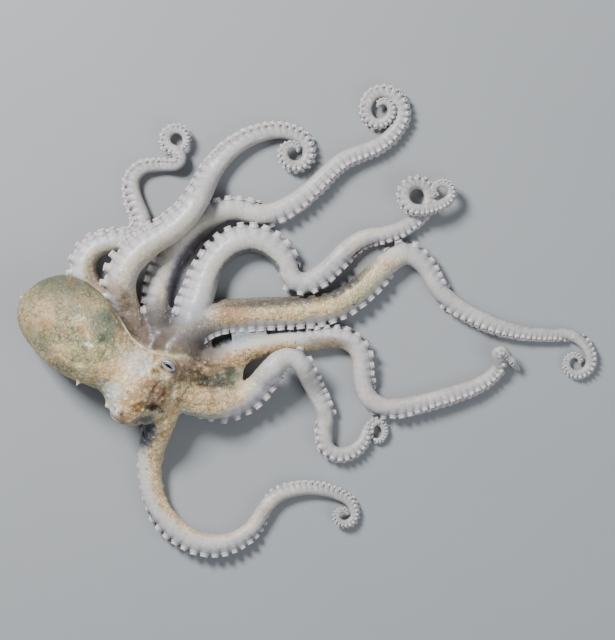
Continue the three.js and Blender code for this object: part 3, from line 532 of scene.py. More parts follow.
# ---- the pale fold that runs from the mantle's edge over the eye to the arms, and the folds of the head
FULL = (slice(0, NX), slice(0, NY), slice(0, NZ))
def field_at(p):
    f = (p - LO) / H
    i = np.clip(f.astype(int), 0, [NX - 2, NY - 2, NZ - 2])
    u = f - i
    out = 0
    for a in (0, 1):
        for b in (0, 1):
            for c in (0, 1):
                wgt = (u[:, 0] if a else 1 - u[:, 0]) * (u[:, 1] if b else 1 - u[:, 1]) * (u[:, 2] if c else 1 - u[:, 2])
                out = out + wgt * D[i[:, 0] + a, i[:, 1] + b, i[:, 2] + c]
    return out


def drop_on(points, down=(0, 0, -1.0)):
    """Where rays from points along down first meet the skin."""
    p = np.array(points, float)
    down = np.asarray(down, float)
    live = np.ones(len(p), bool)
    for _ in range(200):
        d = field_at(p)
        step = np.where(live, np.clip(d, 0.02, 1.0) * 0.8, 0)
        live &= d > 0.02
        p = p + down * step[:, None]
        if not live.any():
            break
    return p, ~live



def spline(points, n):
    """A smooth line through points, as n samples."""
    p = np.asarray(points, float)
    m = len(p)
    q = np.vstack([2 * p[0] - p[1], p, 2 * p[-1] - p[-2]])
    out = []
    for t in np.linspace(0, m - 1, n):
        i = min(int(t), m - 2)
        u = t - i
        a, b, c, d = q[i], q[i + 1], q[i + 2], q[i + 3]
        out.append(0.5 * ((2 * b) + (-a + c) * u + (2 * a - 5 * b + 4 * c - d) * u * u + (-a + 3 * b - 3 * c + d) * u ** 3))
    return np.array(out)


def on_skin(points, n, deeper=0.0):
    """A smooth line through points seen from above, laid on the skin."""
    xy = spline(np.array([[q[0], q[1], 0] for q in points]), n)
    xy[:, 2] = 27.0
    line, ok = drop_on(xy)
    line = line[ok]
    g = np.exp(-0.5 * (np.arange(-4, 5) / 2.0) ** 2)
    pad = np.concatenate([np.full(4, line[0, 2]), line[:, 2], np.full(4, line[-1, 2])])
    line[:, 2] = np.convolve(pad, g / g.sum(), "valid") - deeper
    return line


def lay(line, radius, k, cut=False, rise=3.5):
    """A rounded ridge along a line, or a groove when cut is true."""
    w = span(line.min(0) - 3, line.max(0) + 3)
    d = np.full(D[w].shape, FAR, np.float32)
    n = len(line)
    for i in range(n - 1):
        u = i / max(n - 2, 1)
        taper = min(1.0, 0.3 + rise * u, 0.3 + 3.5 * (1 - u))
        d = np.minimum(d, capsule(w, line[i], line[i + 1], radius * taper * (1 + 0.14 * math.sin(i * 0.9))))
    D[w] = -smin(-D[w], d, np.float32(k)) if cut else smin(D[w], d, np.float32(k))


FOLD = [(24.2, 15.3), (26.2, 14.5), (28.3, 13.3), (32.4, 11.5), (37.4, 11.1), (42.1, 12.2), (45.9, 13.7),
        (48.4, 15.4)]
FOLD_LINE = on_skin([body_point(*q, 0) for q in FOLD], 80, -0.15)
FOLD_LINE[:24, 2] -= 0.45 * (1 - smooth01(0, 24, np.arange(24)))
lay(FOLD_LINE[:60], 0.56, 0.7, rise=1.5)
lay(FOLD_LINE[58:], 0.34, 0.6)
RIDGES = [
    ([(-41.4, -12.2), (-37.6, -13.4), (-33.4, -15.3), (-30.6, -17.4)], 0.34),
    ([(-40.4, -14.6), (-36.9, -16.6), (-33.4, -18.8), (-29.9, -20.9)], 0.38),
    ([(-41.8, -18.1), (-39.0, -19.7), (-35.5, -21.8), (-32.0, -22.3)], 0.32),
    ([(-46.5, -11.8), (-47.1, -14.3), (-45.6, -16.9), (-42.5, -17.8), (-40.0, -16.2)], 0.36),
    ([(-46.3, -18.8), (-47.7, -21.5), (-49.5, -23.7), (-51.4, -25.1)], 0.4),
    ([(-43.2, -19.9), (-44.4, -22.3), (-46.0, -24.6)], 0.34),
    ([(-60.0, -29.2), (-56.8, -30.6), (-53.3, -30.6), (-51.2, -29.0)], 0.5),
    ([(-37.6, -10.1), (-34.1, -11.5), (-30.6, -13.2), (-26.4, -13.2)], 0.34),
    ([(-41.1, -22.7), (-37.6, -24.1), (-33.4, -25.1), (-28.5, -25.1)], 0.34),
    ([(-43.9, -30.0), (-43.2, -33.5), (-43.5, -37.7)], 0.3),
]
GROOVES = [
    ([(-54.7, -15.0), (-55.6, -18.8), (-54.7, -22.0), (-53.1, -24.1)], 0.22),
    ([(-57.4, -15.2), (-59.0, -17.6), (-61.7, -19.9)], 0.24),
    ([(-48.4, -26.7), (-46.6, -26.4), (-44.5, -27.4)], 0.75),
    ([(-44.0, -17.8), (-45.6, -20.6), (-47.2, -23.4)], 0.28),
    ([(-39.3, -13.8), (-35.5, -15.9), (-31.6, -18.4)], 0.25),
    ([(-40.7, -16.6), (-37.2, -18.4), (-33.0, -20.8)], 0.3),
    ([(-50.7, -30.0), (-50.5, -32.8), (-49.9, -36.0)], 0.5),
]
for points, r in GROOVES:
    lay(on_skin(points, 22, -0.1), r, 0.7, cut=True)
for points, r in RIDGES:
    lay(on_skin(points, 26, 0.05), r, 0.7)

# ---- the eyes sit in lids: a thin cap of skin over each eyeball with a narrow opening
for e in EYES:
    c, out = e["c"], e["out"]
    slit = BX - out * (BX @ out)
    slit /= np.linalg.norm(slit)
    up = np.cross(out, slit)
    if e["side"] == "left" and up @ BY < 0:
        up = -up
    if e["side"] == "right" and up[2] < 0:
        up = -up
    e["slit"], e["up"] = slit, up
    blend_in(D, FULL, c - 4, c + 4, lambda w, c=c, out=out: ellipsoid(w, c - out * 0.3, (3.5, 3.5, 3.5)), 1.0)
    turn = np.array([slit, up, out])

    def brim(n, hu, hv, lift, point=0.35, c=c, slit=slit, up=up, out=out):
        """Almond shaped line round the opening of the lids, n points, on a ball of radius lift."""
        pts = []
        for j in range(n):
            a = 2 * math.pi * j / n
            u = hu * math.cos(a) * (1 + point * abs(math.cos(a)) ** 6)
            v = hv * math.sin(a) * (1.0 if math.sin(a) > 0 else 1.1)
            height = math.sqrt(max(lift ** 2 - u * u - v * v, 0.1))
            pts.append(c + slit * u + up * v + out * height)
        return np.array(pts)
    w = span(c - 5.5, c + 5.5)
    for hu, hv, lift, r, k in ((2.0, 0.86, 3.18, 0.25, 0.45), (3.0, 2.2, 2.85, 0.36, 0.8)):
        ring = brim(34, hu, hv, lift)
        rim = np.full(D[w].shape, FAR, np.float32)
        for j in range(34):
            r_ = r * (1 + 0.18 * math.sin(j * 1.7))
            rim = np.minimum(rim, capsule(w, ring[j], ring[(j + 1) % 34], r_))
        D[w] = smin(D[w], rim, np.float32(k))
    e["ring"] = brim(34, 2.0, 0.86, 3.2)
    # the opening, almond shaped
    q = c + out * 3.4
    hole = ellipsoid(w, q, (1.95, 0.66, 3.2), turn).astype(np.float32)
    D[w] = -smin(-D[w], hole, np.float32(0.3))
    # a groove round the lids
    ring = brim(34, 2.55, 1.6, 3.32, 0.2)
    cut = np.full(D[w].shape, FAR, np.float32)
    for j in range(34):
        cut = np.minimum(cut, capsule(w, ring[j], ring[(j + 1) % 34], 0.16))
    D[w] = -smin(-D[w], cut, np.float32(0.4))
say("lids")

# ---- small warts, scattered over the head, the roots of the arms and the mantle
rng = np.random.default_rng(11)


WARTS = []
tries = np.array([body_point(rng.uniform(-1, 62), rng.uniform(-13, 18), 27.0) for _ in range(2600)])
hit, ok = drop_on(tries)
hit = hit[ok & (hit[:, 2] > 4.0)]
ta, ac = body_coords(hit[:, 0], hit[:, 1])
kept = []
for p, t, q in zip(hit, ta, ac):
    if t > 34:
        gap, r = rng.uniform(0.9, 2.2), rng.choice([0.22, 0.3, 0.36, 0.5], p=[.35, .35, .2, .1])
        if q > 11 and t < 46:
            continue
    else:
        gap, r = rng.uniform(2.6, 5.5), rng.choice([0.2, 0.28, 0.4], p=[.5, .35, .15])
    if any(np.linalg.norm(p - e["c"]) < 3.6 for e in EYES):
        continue
    if np.min(np.linalg.norm(FOLD_LINE - p, axis=1)) < 1.2 or np.hypot(p[0] + 46.7, p[1] + 26.3) < 2.6 or np.hypot(p[0] + 50, p[1] + 33) < 4:
        continue
    if all(np.linalg.norm(p - k_[0]) > gap + r for k_ in kept):
        kept.append((p, r))
WARTS += kept
# rows of tubercles on the broad roots of the arms
for name in NAMES:
    path = PATHS[name]
    for _ in range(90):
        s_ = rng.uniform(2, 52) if path["band"][int(30 / STEP)] > 0.5 else rng.uniform(2, 20)
        i = int(s_ / STEP)
        if path["band"][i] < 0.4 or rng.random() < s_ / 90:
            continue
        ang = rng.uniform(-1, 1) * path["bandw"][i] * rad * 0.8 + math.pi + path["shift"][i] * rad
        d_ = math.cos(ang) * path["O"][i] + math.sin(ang) * path["P"][i]
        if d_[2] < -0.1:
            continue
        p = path["c"][i] + d_ * path["R"][i] * 0.99
        f_ = field_at(p[None] + d_ * 0.25)[0]
        if f_ < 0.0 or f_ > 0.9:
            continue
        r = rng.choice([0.2, 0.27, 0.36], p=[.5, .35, .15])
        if all(np.linalg.norm(p - k_[0]) > 1.3 for k_ in WARTS[-60:]):
            WARTS.append((p, r))
for p, r in WARTS:
    blend_in(D, FULL, p - r - 1, p + r + 1, lambda w, p=p, r=r: ellipsoid(w, p - [0, 0, r * 0.1], (r * 1.15, r * 1.15, r)), 0.5)
say("warts", len(WARTS))

# ---- flat on the floor
floor = (-GZ)[None, None, :]
D = -smin(-D, -(floor + 0 * D), np.float32(0.25))
del floor

grid = openvdb.FloatGrid(FAR)
grid.copyFromArray(D, tolerance=0.0)
say("copied")
pts, tris, quads = grid.convertToPolygons(0.0, 0.0)
say("polygons", len(pts), len(tris), len(quads))
V = np.asarray(pts, float) * H + LO
quads = np.asarray(quads, np.int64)
tris = np.asarray(tris, np.int64).reshape(-1, 3)

# drop loose crumbs: keep the biggest connected piece
def components(n, faces):
    label = np.arange(n)
    e = np.concatenate([faces[:, [0, 1]], faces[:, [1, 2]], faces[:, [2, 3]], faces[:, [3, 0]]])
    while True:
        m = np.minimum(label[e[:, 0]], label[e[:, 1]])
        new = label.copy()
        np.minimum.at(new, e[:, 0], m)
        np.minimum.at(new, e[:, 1], m)
        new = new[new]
        new = new[new]
        if (new == label).all():
            return label
        label = new


lab = components(len(V), quads)
ids, counts = np.unique(lab, return_counts=True)
say("pieces of skin", len(ids), counts.max())
main = ids[counts.argmax()]
keep = lab == main
remap = -np.ones(len(V), np.int64)
remap[keep] = np.arange(keep.sum())
V = V[keep]
quads = remap[quads[keep[quads[:, 0]]]]

# smooth away the steps of the grid (lambda-mu, so that thin tips keep their width)
EDGES = np.concatenate([quads[:, [0, 1]], quads[:, [1, 2]], quads[:, [2, 3]], quads[:, [3, 0]]])
deg = np.bincount(EDGES.ravel(), minlength=len(V))[:, None]


def average(v):
    return np.stack([np.bincount(EDGES[:, 0], v[EDGES[:, 1], k], len(V)) + np.bincount(EDGES[:, 1], v[EDGES[:, 0], k], len(V))
                     for k in range(v.shape[1])], 1) / deg


for lam in (0.5, -0.52, 0.5, -0.52, 0.45):
    V = V + lam * (average(V) - V)
V[:, 2] = np.maximum(V[:, 2], 0.0)
say("smoothed")


def face_mesh(name, verts, faces, smooth=True):
    """A mesh object from arrays, millimetres in, metres out."""
    me = bpy.data.meshes.new(name)
    faces = np.asarray(faces)
    me.vertices.add(len(verts))
    me.vertices.foreach_set("co", (np.asarray(verts) * 0.001).astype(np.float32).ravel())
    n = faces.shape[1]
    me.loops.add(faces.size)
    me.loops.foreach_set("vertex_index", faces.astype(np.int32).ravel())
    me.polygons.add(len(faces))
    me.polygons.foreach_set("loop_start", (np.arange(len(faces)) * n).astype(np.int32))
    me.polygons.foreach_set("use_smooth", np.full(len(faces), smooth))
    me.update(calc_edges=True)
    ob = bpy.data.objects.new(name, me)
    bpy.context.scene.collection.objects.link(ob)
    return ob


def normals_of(v, f):
    n = np.zeros_like(v)
    a = np.cross(v[f[:, 2]] - v[f[:, 0]], v[f[:, 3]] - v[f[:, 1]])
    for k in range(4):
        for c in range(3):
            n[:, c] += np.bincount(f[:, k], a[:, c], len(v))
    return n / (np.linalg.norm(n, axis=1, keepdims=True) + 1e-12)


NV = normals_of(V, quads)
if np.mean(np.einsum("ij,ij->i", NV, V - V.mean(0))) < 0:
    quads = quads[:, ::-1]
    NV = -NV
say("normals")

# ---- what each point of the skin belongs to
arm_dist = np.full(len(V), 9.0, np.float32)
arm_no = np.full(len(V), -1, np.int16)
arm_s = np.zeros(len(V), np.float32)
arm_th = np.zeros(len(V), np.float32)
arm_R = np.ones(len(V), np.float32)
arm_psi = np.zeros(len(V), np.float32)
vi = np.clip(np.round((V - LO) / H).astype(int), 0, [NX - 1, NY - 1, NZ - 1])
for a, name in enumerate(NAMES):
    path = PATHS[name]
    sl = path["slice"]
    q = vi - [sl[0].start, sl[1].start, sl[2].start]
    inside = ((q >= 0) & (q < path["which"].shape)).all(1)
    k = np.nonzero(inside)[0]
    idx = path["which"][q[k, 0], q[k, 1], q[k, 2]].astype(np.int32)
    got = idx > 0
    k, idx = k[got], idx[got]
    f, qo, qp, rho = arm_local(V[k].astype(np.float32), idx, path)
    R = np.interp(f, np.arange(len(path["s"])), path["R"])
    d = (rho - R).astype(np.float32)
    near = d < arm_dist[k]
    k, f, qo, qp, d, R = k[near], f[near], qo[near], qp[near], d[near], R[near]
    arm_dist[k], arm_no[k], arm_s[k] = d, a, f * STEP
    arm_th[k] = np.arctan2(qp, qo)
    arm_R[k] = R
    arm_psi[k] = np.interp(f, np.arange(len(path["s"])), path["psi"])
arm_dist = np.minimum(arm_dist, 9)
# and how near it is to the mantle and head
q = vi - [BODY_SL[0].start, BODY_SL[1].start, BODY_SL[2].start]
inside = ((q >= 0) & (q < BODY_FIELD.shape)).all(1)
body_dist = np.full(len(V), 9.0)
k = np.nonzero(inside)[0]
body_dist[k] = BODY_FIELD[q[k, 0], q[k, 1], q[k, 2]]
TA, AC = body_coords(V[:, 0], V[:, 1])
is_body = smooth01(1.2, -0.1, body_dist) * smooth01(-0.6, 0.9, arm_dist + 0.3)
is_body = np.where(body_dist < 0.35, np.maximum(is_body, smooth01(0.9, 0.2, body_dist)), is_body)
is_body = np.where((body_dist > 1.5), 0, is_body)
say("owners")


# ---- noise, worked out for each point
def hashed(i, j, k, seed):
    """A number from 0 to 1 for each cell of a lattice."""
    n = (i.astype(np.uint32) * np.uint32(374761393) + j.astype(np.uint32) * np.uint32(668265263)
         + k.astype(np.uint32) * np.uint32(2246822519) + np.uint32(seed * 3266489917 & 0xFFFFFFFF))
    n = (n ^ (n >> np.uint32(13))) * np.uint32(1274126177)
    n = (n ^ (n >> np.uint32(15))) * np.uint32(2654435761)
    return ((n ^ (n >> np.uint32(16))) & np.uint32(0xFFFFFF)).astype(np.float32) / np.float32(0xFFFFFF)


def noise(p, cell, seed):
    """Smooth noise from -1 to 1 with lumps about as big as cell."""
    q = np.asarray(p, np.float32) / np.float32(cell) + 512
    i = np.floor(q).astype(np.int64)
    u = q - i
    u = u * u * (3 - 2 * u)
    out = 0
    for a in (0, 1):
        for b_ in (0, 1):
            for c in (0, 1):
                w_ = ((u[:, 0] if a else 1 - u[:, 0]) * (u[:, 1] if b_ else 1 - u[:, 1]) * (u[:, 2] if c else 1 - u[:, 2]))
                out = out + w_ * hashed(i[:, 0] + a, i[:, 1] + b_, i[:, 2] + c, seed)
    return out * 2 - 1


def fractal(p, cell, seed, octaves=3):
    out, total = 0, 0
    for o in range(octaves):
        out = out + noise(p, cell / 2 ** o, seed + 17 * o) / 1.8 ** o
        total += 1 / 1.8 ** o
    return out / total * 1.5


def cells(p, cell, seed):
    """Scattered cells: distance to the nearest and second nearest centre (in cells), and a number for each cell."""
    q = np.asarray(p, np.float32) / np.float32(cell) + 512
    base = np.floor(q).astype(np.int64)
    f1 = np.full(len(q), 9.0, np.float32)
    f2 = np.full(len(q), 9.0, np.float32)
    ident = np.zeros(len(q), np.float32)
    for a in (-1, 0, 1):
        for b_ in (-1, 0, 1):
            for c in (-1, 0, 1):
                i, j, k = base[:, 0] + a, base[:, 1] + b_, base[:, 2] + c
                d = np.sqrt((i + hashed(i, j, k, seed) - q[:, 0]) ** 2 + (j + hashed(i, j, k, seed + 1) - q[:, 1]) ** 2
                            + (k + hashed(i, j, k, seed + 2) - q[:, 2]) ** 2)
                closer = d < f1
                f2 = np.where(closer, f1, np.minimum(f2, d))
                ident = np.where(closer, hashed(i, j, k, seed + 3), ident)
                f1 = np.where(closer, d, f1)
    return f1, f2, ident


def lin(c):
    """A colour given as 0..255 on the screen, as light."""
    c = np.asarray(c, float) / 255
    return np.where(c <= 0.04045, c / 12.92, ((c + 0.055) / 1.055) ** 2.4)


def laid(paint, colour, amount):
    """Lays a colour over the paint."""
    colour = lin(colour) if not isinstance(colour, np.ndarray) else colour
    a = np.clip(np.broadcast_to(amount, len(paint)), 0, 1)[:, None]
    return paint * (1 - a) + colour * a


LENS = 150
WIDE_MM = 190.0                                # width of floor in the picture
EYE_UP = (WIDE_MM * 640 / 615) * LENS / 36     # height of the camera, mm


MANTLE_MARKS = [
    (-73.3, 7.8, 5.0, 2.6, 0, (140, 143, 120), 0.6), (-68.0, 7.0, 3.0, 2.0, -30, (148, 150, 128), 0.5), (-80.5, 9.0, 3.4, 2.2, 20, (146, 148, 124), 0.5),
    (-77.5, 11.6, 7.5, 2.6, 4, (126, 134, 112), 0.85), (-70.0, 11.4, 4.0, 2.2, -14, (134, 136, 116), 0.6), (-86.2, 5.0, 1.40, 2.80, 60, (205, 180, 150), 0.7),
    (-66.3, 10.9, 4.20, 1.40, -10, (150, 158, 138), 0.7), (-63.3, -0.6, 4.2, 3.3, -30, (124, 140, 128), 0.80), (-60.6, -4.6, 2.2, 1.5, -40, (134, 146, 130), 0.6), (-72.0, -6.4, 2.6, 1.6, 20, (146, 152, 128), 0.55), (-77.0, 3.4, 2.4, 1.5, 60, (150, 152, 130), 0.5),
    (-70.5, 3.9, 3.50, 2.10, -10, (150, 156, 136), 0.6), (-72.6, 2.5, 2.80, 1.26, 0, (128, 142, 126), 0.6),
    (-61.0, 1.5, 1.75, 2.80, -40, (130, 144, 128), 0.6), (-81.7, -8.3, 1.40, 3.15, 30, (122, 134, 118), 0.8),
    (-84.8, -3.4, 1.05, 3.50, 10, (150, 155, 132), 0.6), (-75.4, -13.9, 4.90, 1.12, -25, (150, 152, 122), 0.6),
    (-67.7, -17.1, 3.50, 1.26, -25, (150, 158, 136), 0.6), (-62.4, -19.5, 2.45, 1.40, -20, (138, 150, 140), 0.7),
    (-81.7, 2.2, 3.20, 4.60, 0, (222, 190, 156), 0.7), (-83.8, -1.3, 2.80, 2.10, 0, (205, 178, 145), 0.5),
    (-70.1, -2.4, 1.40, 1.61, 0, (186, 128, 78), 0.85), (-81.3, -1.7, 1.96, 1.68, 0, (196, 146, 104), 0.6),
    (-69.1, 5.3, 2.80, 1.82, -40, (200, 168, 128), 0.55), (-62.4, 6.4, 2.80, 1.40, -40, (196, 176, 148), 0.6),
    (-57.9, -4.5, 1.61, 2.10, 30, (206, 172, 128), 0.6), (-58.6, -15.7, 3.50, 2.80, -40, (222, 192, 150), 0.75),
    (-63.5, -13.2, 2.80, 1.68, -30, (206, 186, 146), 0.6), (-74.7, -3.1, 1.05, 1.40, 0, (168, 146, 102), 0.5),
    (-67.7, -5.2, 0.56, 1.40, 10, (232, 222, 186), 0.8), (-67.3, -7.8, 1.5, 0.9, 20, (240, 230, 200), 0.9), (-67.2, -7.7, 0.9, 0.55, 20, (252, 248, 232), 1.0),
    (-70.5, -13.9, 1.12, 0.84, 0, (228, 220, 176), 0.8), (-72.6, -9.0, 3.50, 2.45, 0, (196, 186, 140), 0.5),
    (-66.3, -11.1, 2.10, 2.10, 0, (200, 176, 124), 0.4), (-76.8, 7.1, 2.10, 2.10, 0, (196, 170, 140), 0.45),
    (-74.7, 6.4, 1.40, 2.10, 0, (206, 190, 180), 0.4), (-56.6, -20.2, 1.54, 1.82, 0, (222, 190, 146), 0.6),
]
HEAD_MARKS = [
    (-59.8, -15.3, 3.2, 2.7, -40, (228, 192, 150), 0.8), (-57.4, -19.3, 2.2, 1.8, -30, (216, 190, 158), 0.5),
    (-51.6, -12.9, 4.4, 3.0, -20, (208, 204, 206), 0.72), (-53.3, -16.7, 2.80, 2.10, 0, (216, 202, 190), 0.6), (-55.0, -14.4, 2.2, 2.2, 0, (230, 208, 176), 0.6),
    (-47.9, -12.4, 0.60, 1.7, -25, (182, 198, 214), 0.6), (-49.8, -15.7, 1.75, 1.40, 0, (184, 190, 204), 0.6),
    (-58.9, -22.3, 2.10, 3.50, -30, (192, 202, 208), 0.8), (-58.6, -27.2, 2.24, 1.82, -30, (176, 194, 206), 0.85),
    (-61.0, -19.5, 1.40, 1.40, 0, (180, 192, 186), 0.6), (-55.8, -23.0, 1.75, 2.10, 0, (205, 200, 190), 0.5),
    (-45.6, -15.5, 1.4, 1.2, 30, (132, 104, 50), 0.95), (-46.0, -20.9, 3.92, 2.94, -35, (134, 104, 76), 0.8),
    (-48.1, -18.5, 1.82, 1.26, 0, (184, 150, 118), 0.6), (-49.5, -23.0, 1.40, 2.10, 0, (158, 140, 104), 0.6),
    (-43.2, -21.6, 1.82, 2.52, -40, (122, 94, 72), 0.6), (-46.7, -26.2, 2.3, 1.4, 8, (50, 29, 20), 0.98), (-46.6, -24.4, 1.8, 1.2, 40, (128, 96, 72), 0.6), (-50.4, -25.0, 1.6, 1.2, 0, (150, 116, 78), 0.6),
    (-44.3, -27.4, 1.19, 0.84, -20, (64, 40, 28), 0.8), (-43.5, -25.1, 0.91, 1.12, 0, (110, 76, 48), 0.7),
    (-51.2, -26.1, 1.60, 1.90, 0, (158, 112, 60), 0.9), (-51.0, -26.1, 0.42, 0.42, 0, (228, 214, 180), 0.6),
    (-53.3, -24.6, 2.38, 1.05, 0, (218, 182, 138), 0.7), (-54.7, -28.6, 1.82, 0.98, -10, (208, 170, 130), 0.7),
    (-57.2, -30.5, 3.4, 1.2, -14, (196, 138, 92), 0.95), (-52.6, -31.1, 1.40, 0.84, 0, (186, 150, 118), 0.7),
    (-49.6, -33.6, 4.2, 4.8, 0, (76, 94, 108), 0.95), (-51.6, -36.8, 1.4, 2.2, 0, (92, 106, 120), 0.8), (-48.8, -30.4, 2.38, 1.12, 10, (108, 116, 112), 0.7),
    (-51.2, -33.4, 0.75, 0.6, 0, (176, 204, 220), 0.95), (-51.6, -36.0, 0.6, 0.6, 0, (164, 190, 208), 0.9),
    (-49.5, -34.6, 0.70, 2.10, 0, (52, 66, 76), 0.6), (-36.5, -14.6, 4.20, 3.22, -15, (158, 134, 122), 0.8),
    (-39.0, -17.8, 2.10, 2.10, 0, (128, 106, 86), 0.55), (-34.8, -12.5, 1.12, 1.82, 0, (120, 96, 84), 0.6),
    (-39.3, -12.9, 1.26, 1.05, 0, (170, 140, 122), 0.6), (-32.7, -15.7, 1.05, 1.75, 0, (116, 100, 80), 0.5),
    (-30.4, -15.0, 0.66, 0.66, 0, (246, 240, 222), 0.95), (-27.8, -13.6, 2.94, 1.82, -15, (212, 186, 152), 0.7),
    (-23.6, -11.5, 2.80, 1.40, -25, (202, 160, 124), 0.6), (-25.7, -19.2, 3.85, 1.82, -20, (98, 102, 94), 0.75),
    (-29.2, -21.3, 2.10, 1.26, -10, (122, 110, 96), 0.6), (-22.9, -16.0, 2.80, 1.68, -35, (66, 84, 80), 0.7),
    (-33.4, -23.0, 4.20, 2.10, -5, (204, 180, 148), 0.6), (-26.4, -23.7, 3.50, 1.68, 0, (200, 178, 150), 0.6),
    (-29.2, -24.8, 1.05, 1.05, 0, (150, 122, 92), 0.6), (-42.1, -26.5, 1.54, 2.10, 0, (196, 176, 132), 0.5),
    (-37.9, -26.2, 2.10, 1.68, 0, (180, 166, 128), 0.5), (-32.7, -29.3, 6.30, 1.26, -4, (158, 164, 128), 0.6),
    (-39.7, -32.1, 1.40, 2.10, -40, (160, 166, 130), 0.6), (-44.2, -34.2, 1.82, 3.50, -10, (196, 180, 140), 0.4),
    (-43.9, -34.9, 0.84, 1.12, 0, (158, 136, 76), 0.7), (-48.3, -8.7, 2.10, 0.98, -25, (150, 132, 116), 0.5),
    (-44.2, -6.2, 4.90, 1.82, 10, (120, 102, 92), 0.5), (-44.0, -9.9, 4.90, 0.56, -3, (214, 202, 174), 0.6),
]


# marks on the arms as seen from above: X, Y, two radii, turn, colour and amount; the flat grey one along the upper side
# of left_2 at (-12.4, 5.0) is painted shade
ARM_MARKS_AND_SHADE = [
    (-15.8, -4.2, 6.5, 1.6, 4, (150, 158, 152), 0.50), (-22.4, -5.6, 3.0, 1.4, 0, (142, 148, 138), 0.45),
    (-19.0, 4.4, 8.5, 1.3, 3, (112, 104, 98), 0.62), (-24.3, 2.4, 3.0, 1.6, 5, (160, 138, 118), 0.45),
    (-66.3, 14.1, 2.3, 3.9, 0, (150, 128, 108), 0.55), (-58.7, 9.2, 3.9, 2.4, -30, (184, 156, 138), 0.60),
    (-55.1, 1.5, 2.4, 5.6, 10, (118, 103, 92), 0.65), (-46.7, 1.5, 3.2, 5.2, 0, (136, 130, 130), 0.55),
    (-40.2, 8.5, 1.8, 11.0, -8, (128, 134, 162), 0.50), (-33.0, 3.2, 5.2, 7.0, 0, (186, 190, 206), 0.50),
    (-46.0, 20.4, 6.3, 2.8, 38, (194, 187, 152), 0.38), (-34.0, 28.8, 6.5, 3.0, 32, (200, 196, 168), 0.36),
    (-63.5, 19.7, 4.2, 2.4, 42, (198, 190, 158), 0.40), (-21.9, 1.6, 5.2, 2.5, 0, (196, 158, 130), 0.60),
    (-12.4, 5.0, 14.0, 1.4, 0, (104, 104, 104), 0.40), (20.5, 10.9, 7.4, 3.0, 30, (210, 204, 168), 0.40),
    (4.0, 4.4, 8.0, 2.2, 6, (216, 206, 170), 0.30), (6.5, -6.9, 7.4, 1.7, -3, (134, 116, 100), 0.60),
    (-20.8, -5.5, 6.6, 1.5, 6, (174, 186, 194), 0.50), (-9.5, -8.6, 4.0, 1.6, 8, (206, 178, 152), 0.45),
    (8.0, 34.0, 6.0, 2.2, 25, (196, 194, 190), 0.30), (-26.0, 33.0, 5.0, 2.2, 30, (190, 184, 164), 0.35),
]


# ---- where each point sits on its arm, as seen from above: 1 on the side away from the suckers, -1 at the suckers
side_seen = np.zeros(len(V))
high_seen = np.zeros(len(V))
left_seen = np.zeros(len(V))
strength = np.zeros(len(V))
centre = np.zeros(len(V))
half = np.full(len(V), 60.0)
edge = np.zeros(len(V))
width_at = np.full(len(V), 5.0)
end_near = np.zeros(len(V))
for a, name in enumerate(NAMES):
    path = PATHS[name]
    m = arm_no == a
    i = np.clip((arm_s[m] / STEP).astype(int), 0, len(path["s"]) - 1)
    q = np.cos(arm_th[m])[:, None] * path["O"][i] + np.sin(arm_th[m])[:, None] * path["P"][i]
    flat_out = path["O"][i] * [1, 1, 0]
    ln = np.linalg.norm(flat_out, axis=1, keepdims=True)
    flat_out = flat_out / np.maximum(ln, 0.25)
    side_seen[m] = -np.einsum("ij,ij->i", q, flat_out)
    high_seen[m] = q[:, 2]
    left_seen[m] = np.einsum("ij,ij->i", q, path["N"][i])
    strength[m] = np.interp(arm_s[m], path["s"], path["band"])
    half[m] = np.interp(arm_s[m], path["s"], path["bandw"])
    centre[m] = 180 + np.interp(arm_s[m], path["s"], path["shift"])
    edge[m] = np.interp(arm_s[m], path["s"], path["edge"])
    width_at[m] = path["w"][i]
    end_near[m] = arm_s[m] / path["end"]

P32 = V.astype(np.float32)
n_big, n_mid, n_small, n_fine = (fractal(P32, c_, sd) for c_, sd in ((14, 3), (6, 5), (2.4, 9), (0.9, 21)))
say("noise")
t1, t2, tid = cells(P32 + 0.25 * np.stack([n_small, n_fine, n_small], 1), 1.05, 40)      # small tiles
m1, m2, mid_ = cells(P32 + 0.45 * np.stack([n_small, n_mid, -n_small], 1), 1.6, 50)        # the net on the mantle
g1, g2, gid = cells(P32 + 1.5 * np.stack([n_mid, n_small, -n_mid], 1), 5.2, 60)            # big polygons
say("cells")

# the tan band along the back of each arm
back = np.abs((arm_th / rad - centre + 180) % 360 - 180)
band = smooth01(14, -14, back - half + 16 * n_mid + 8 * n_small) * np.clip(strength + 0.18 * n_mid * (strength > .2), 0, 1)
near_crown = np.hypot(V[:, 0] - CROWN[0], V[:, 1] - CROWN[1])
# the dark, glassy edge of the webbed arms
wide_edge = np.where(arm_no == NAMES.index("left_3"), 0.17, 0.0)
dark = edge * smooth01(0.62, 0.84, side_seen + 0.12 * n_small + wide_edge) * smooth01(-1.0, -0.4, high_seen)
dark = np.where(arm_no == NAMES.index("right_4"), edge * 0.9 * smooth01(0.35, 1.0, side_seen + 0.12 * n_small) * smooth01(-1.0, -0.4, high_seen), dark)
for a, name in enumerate(NAMES):
    for s0, s1, wide, hand in FINS.get(name, ()):
        m = (arm_no == a) & (arm_s > s0) & (arm_s < s1) & (arm_dist > 0.05) & (left_seen > 0.3 if hand else side_seen > 0.3)
        dark[m] = np.maximum(dark[m], (0.55 * smooth01(0.0, 0.5, arm_dist[m]) + 0.45 * smooth01(0.4, 0.45 * wide + 0.6, arm_dist[m])) * smooth01(s0, s0 + 6, arm_s[m]) * smooth01(s1, s1 - 5, arm_s[m]))

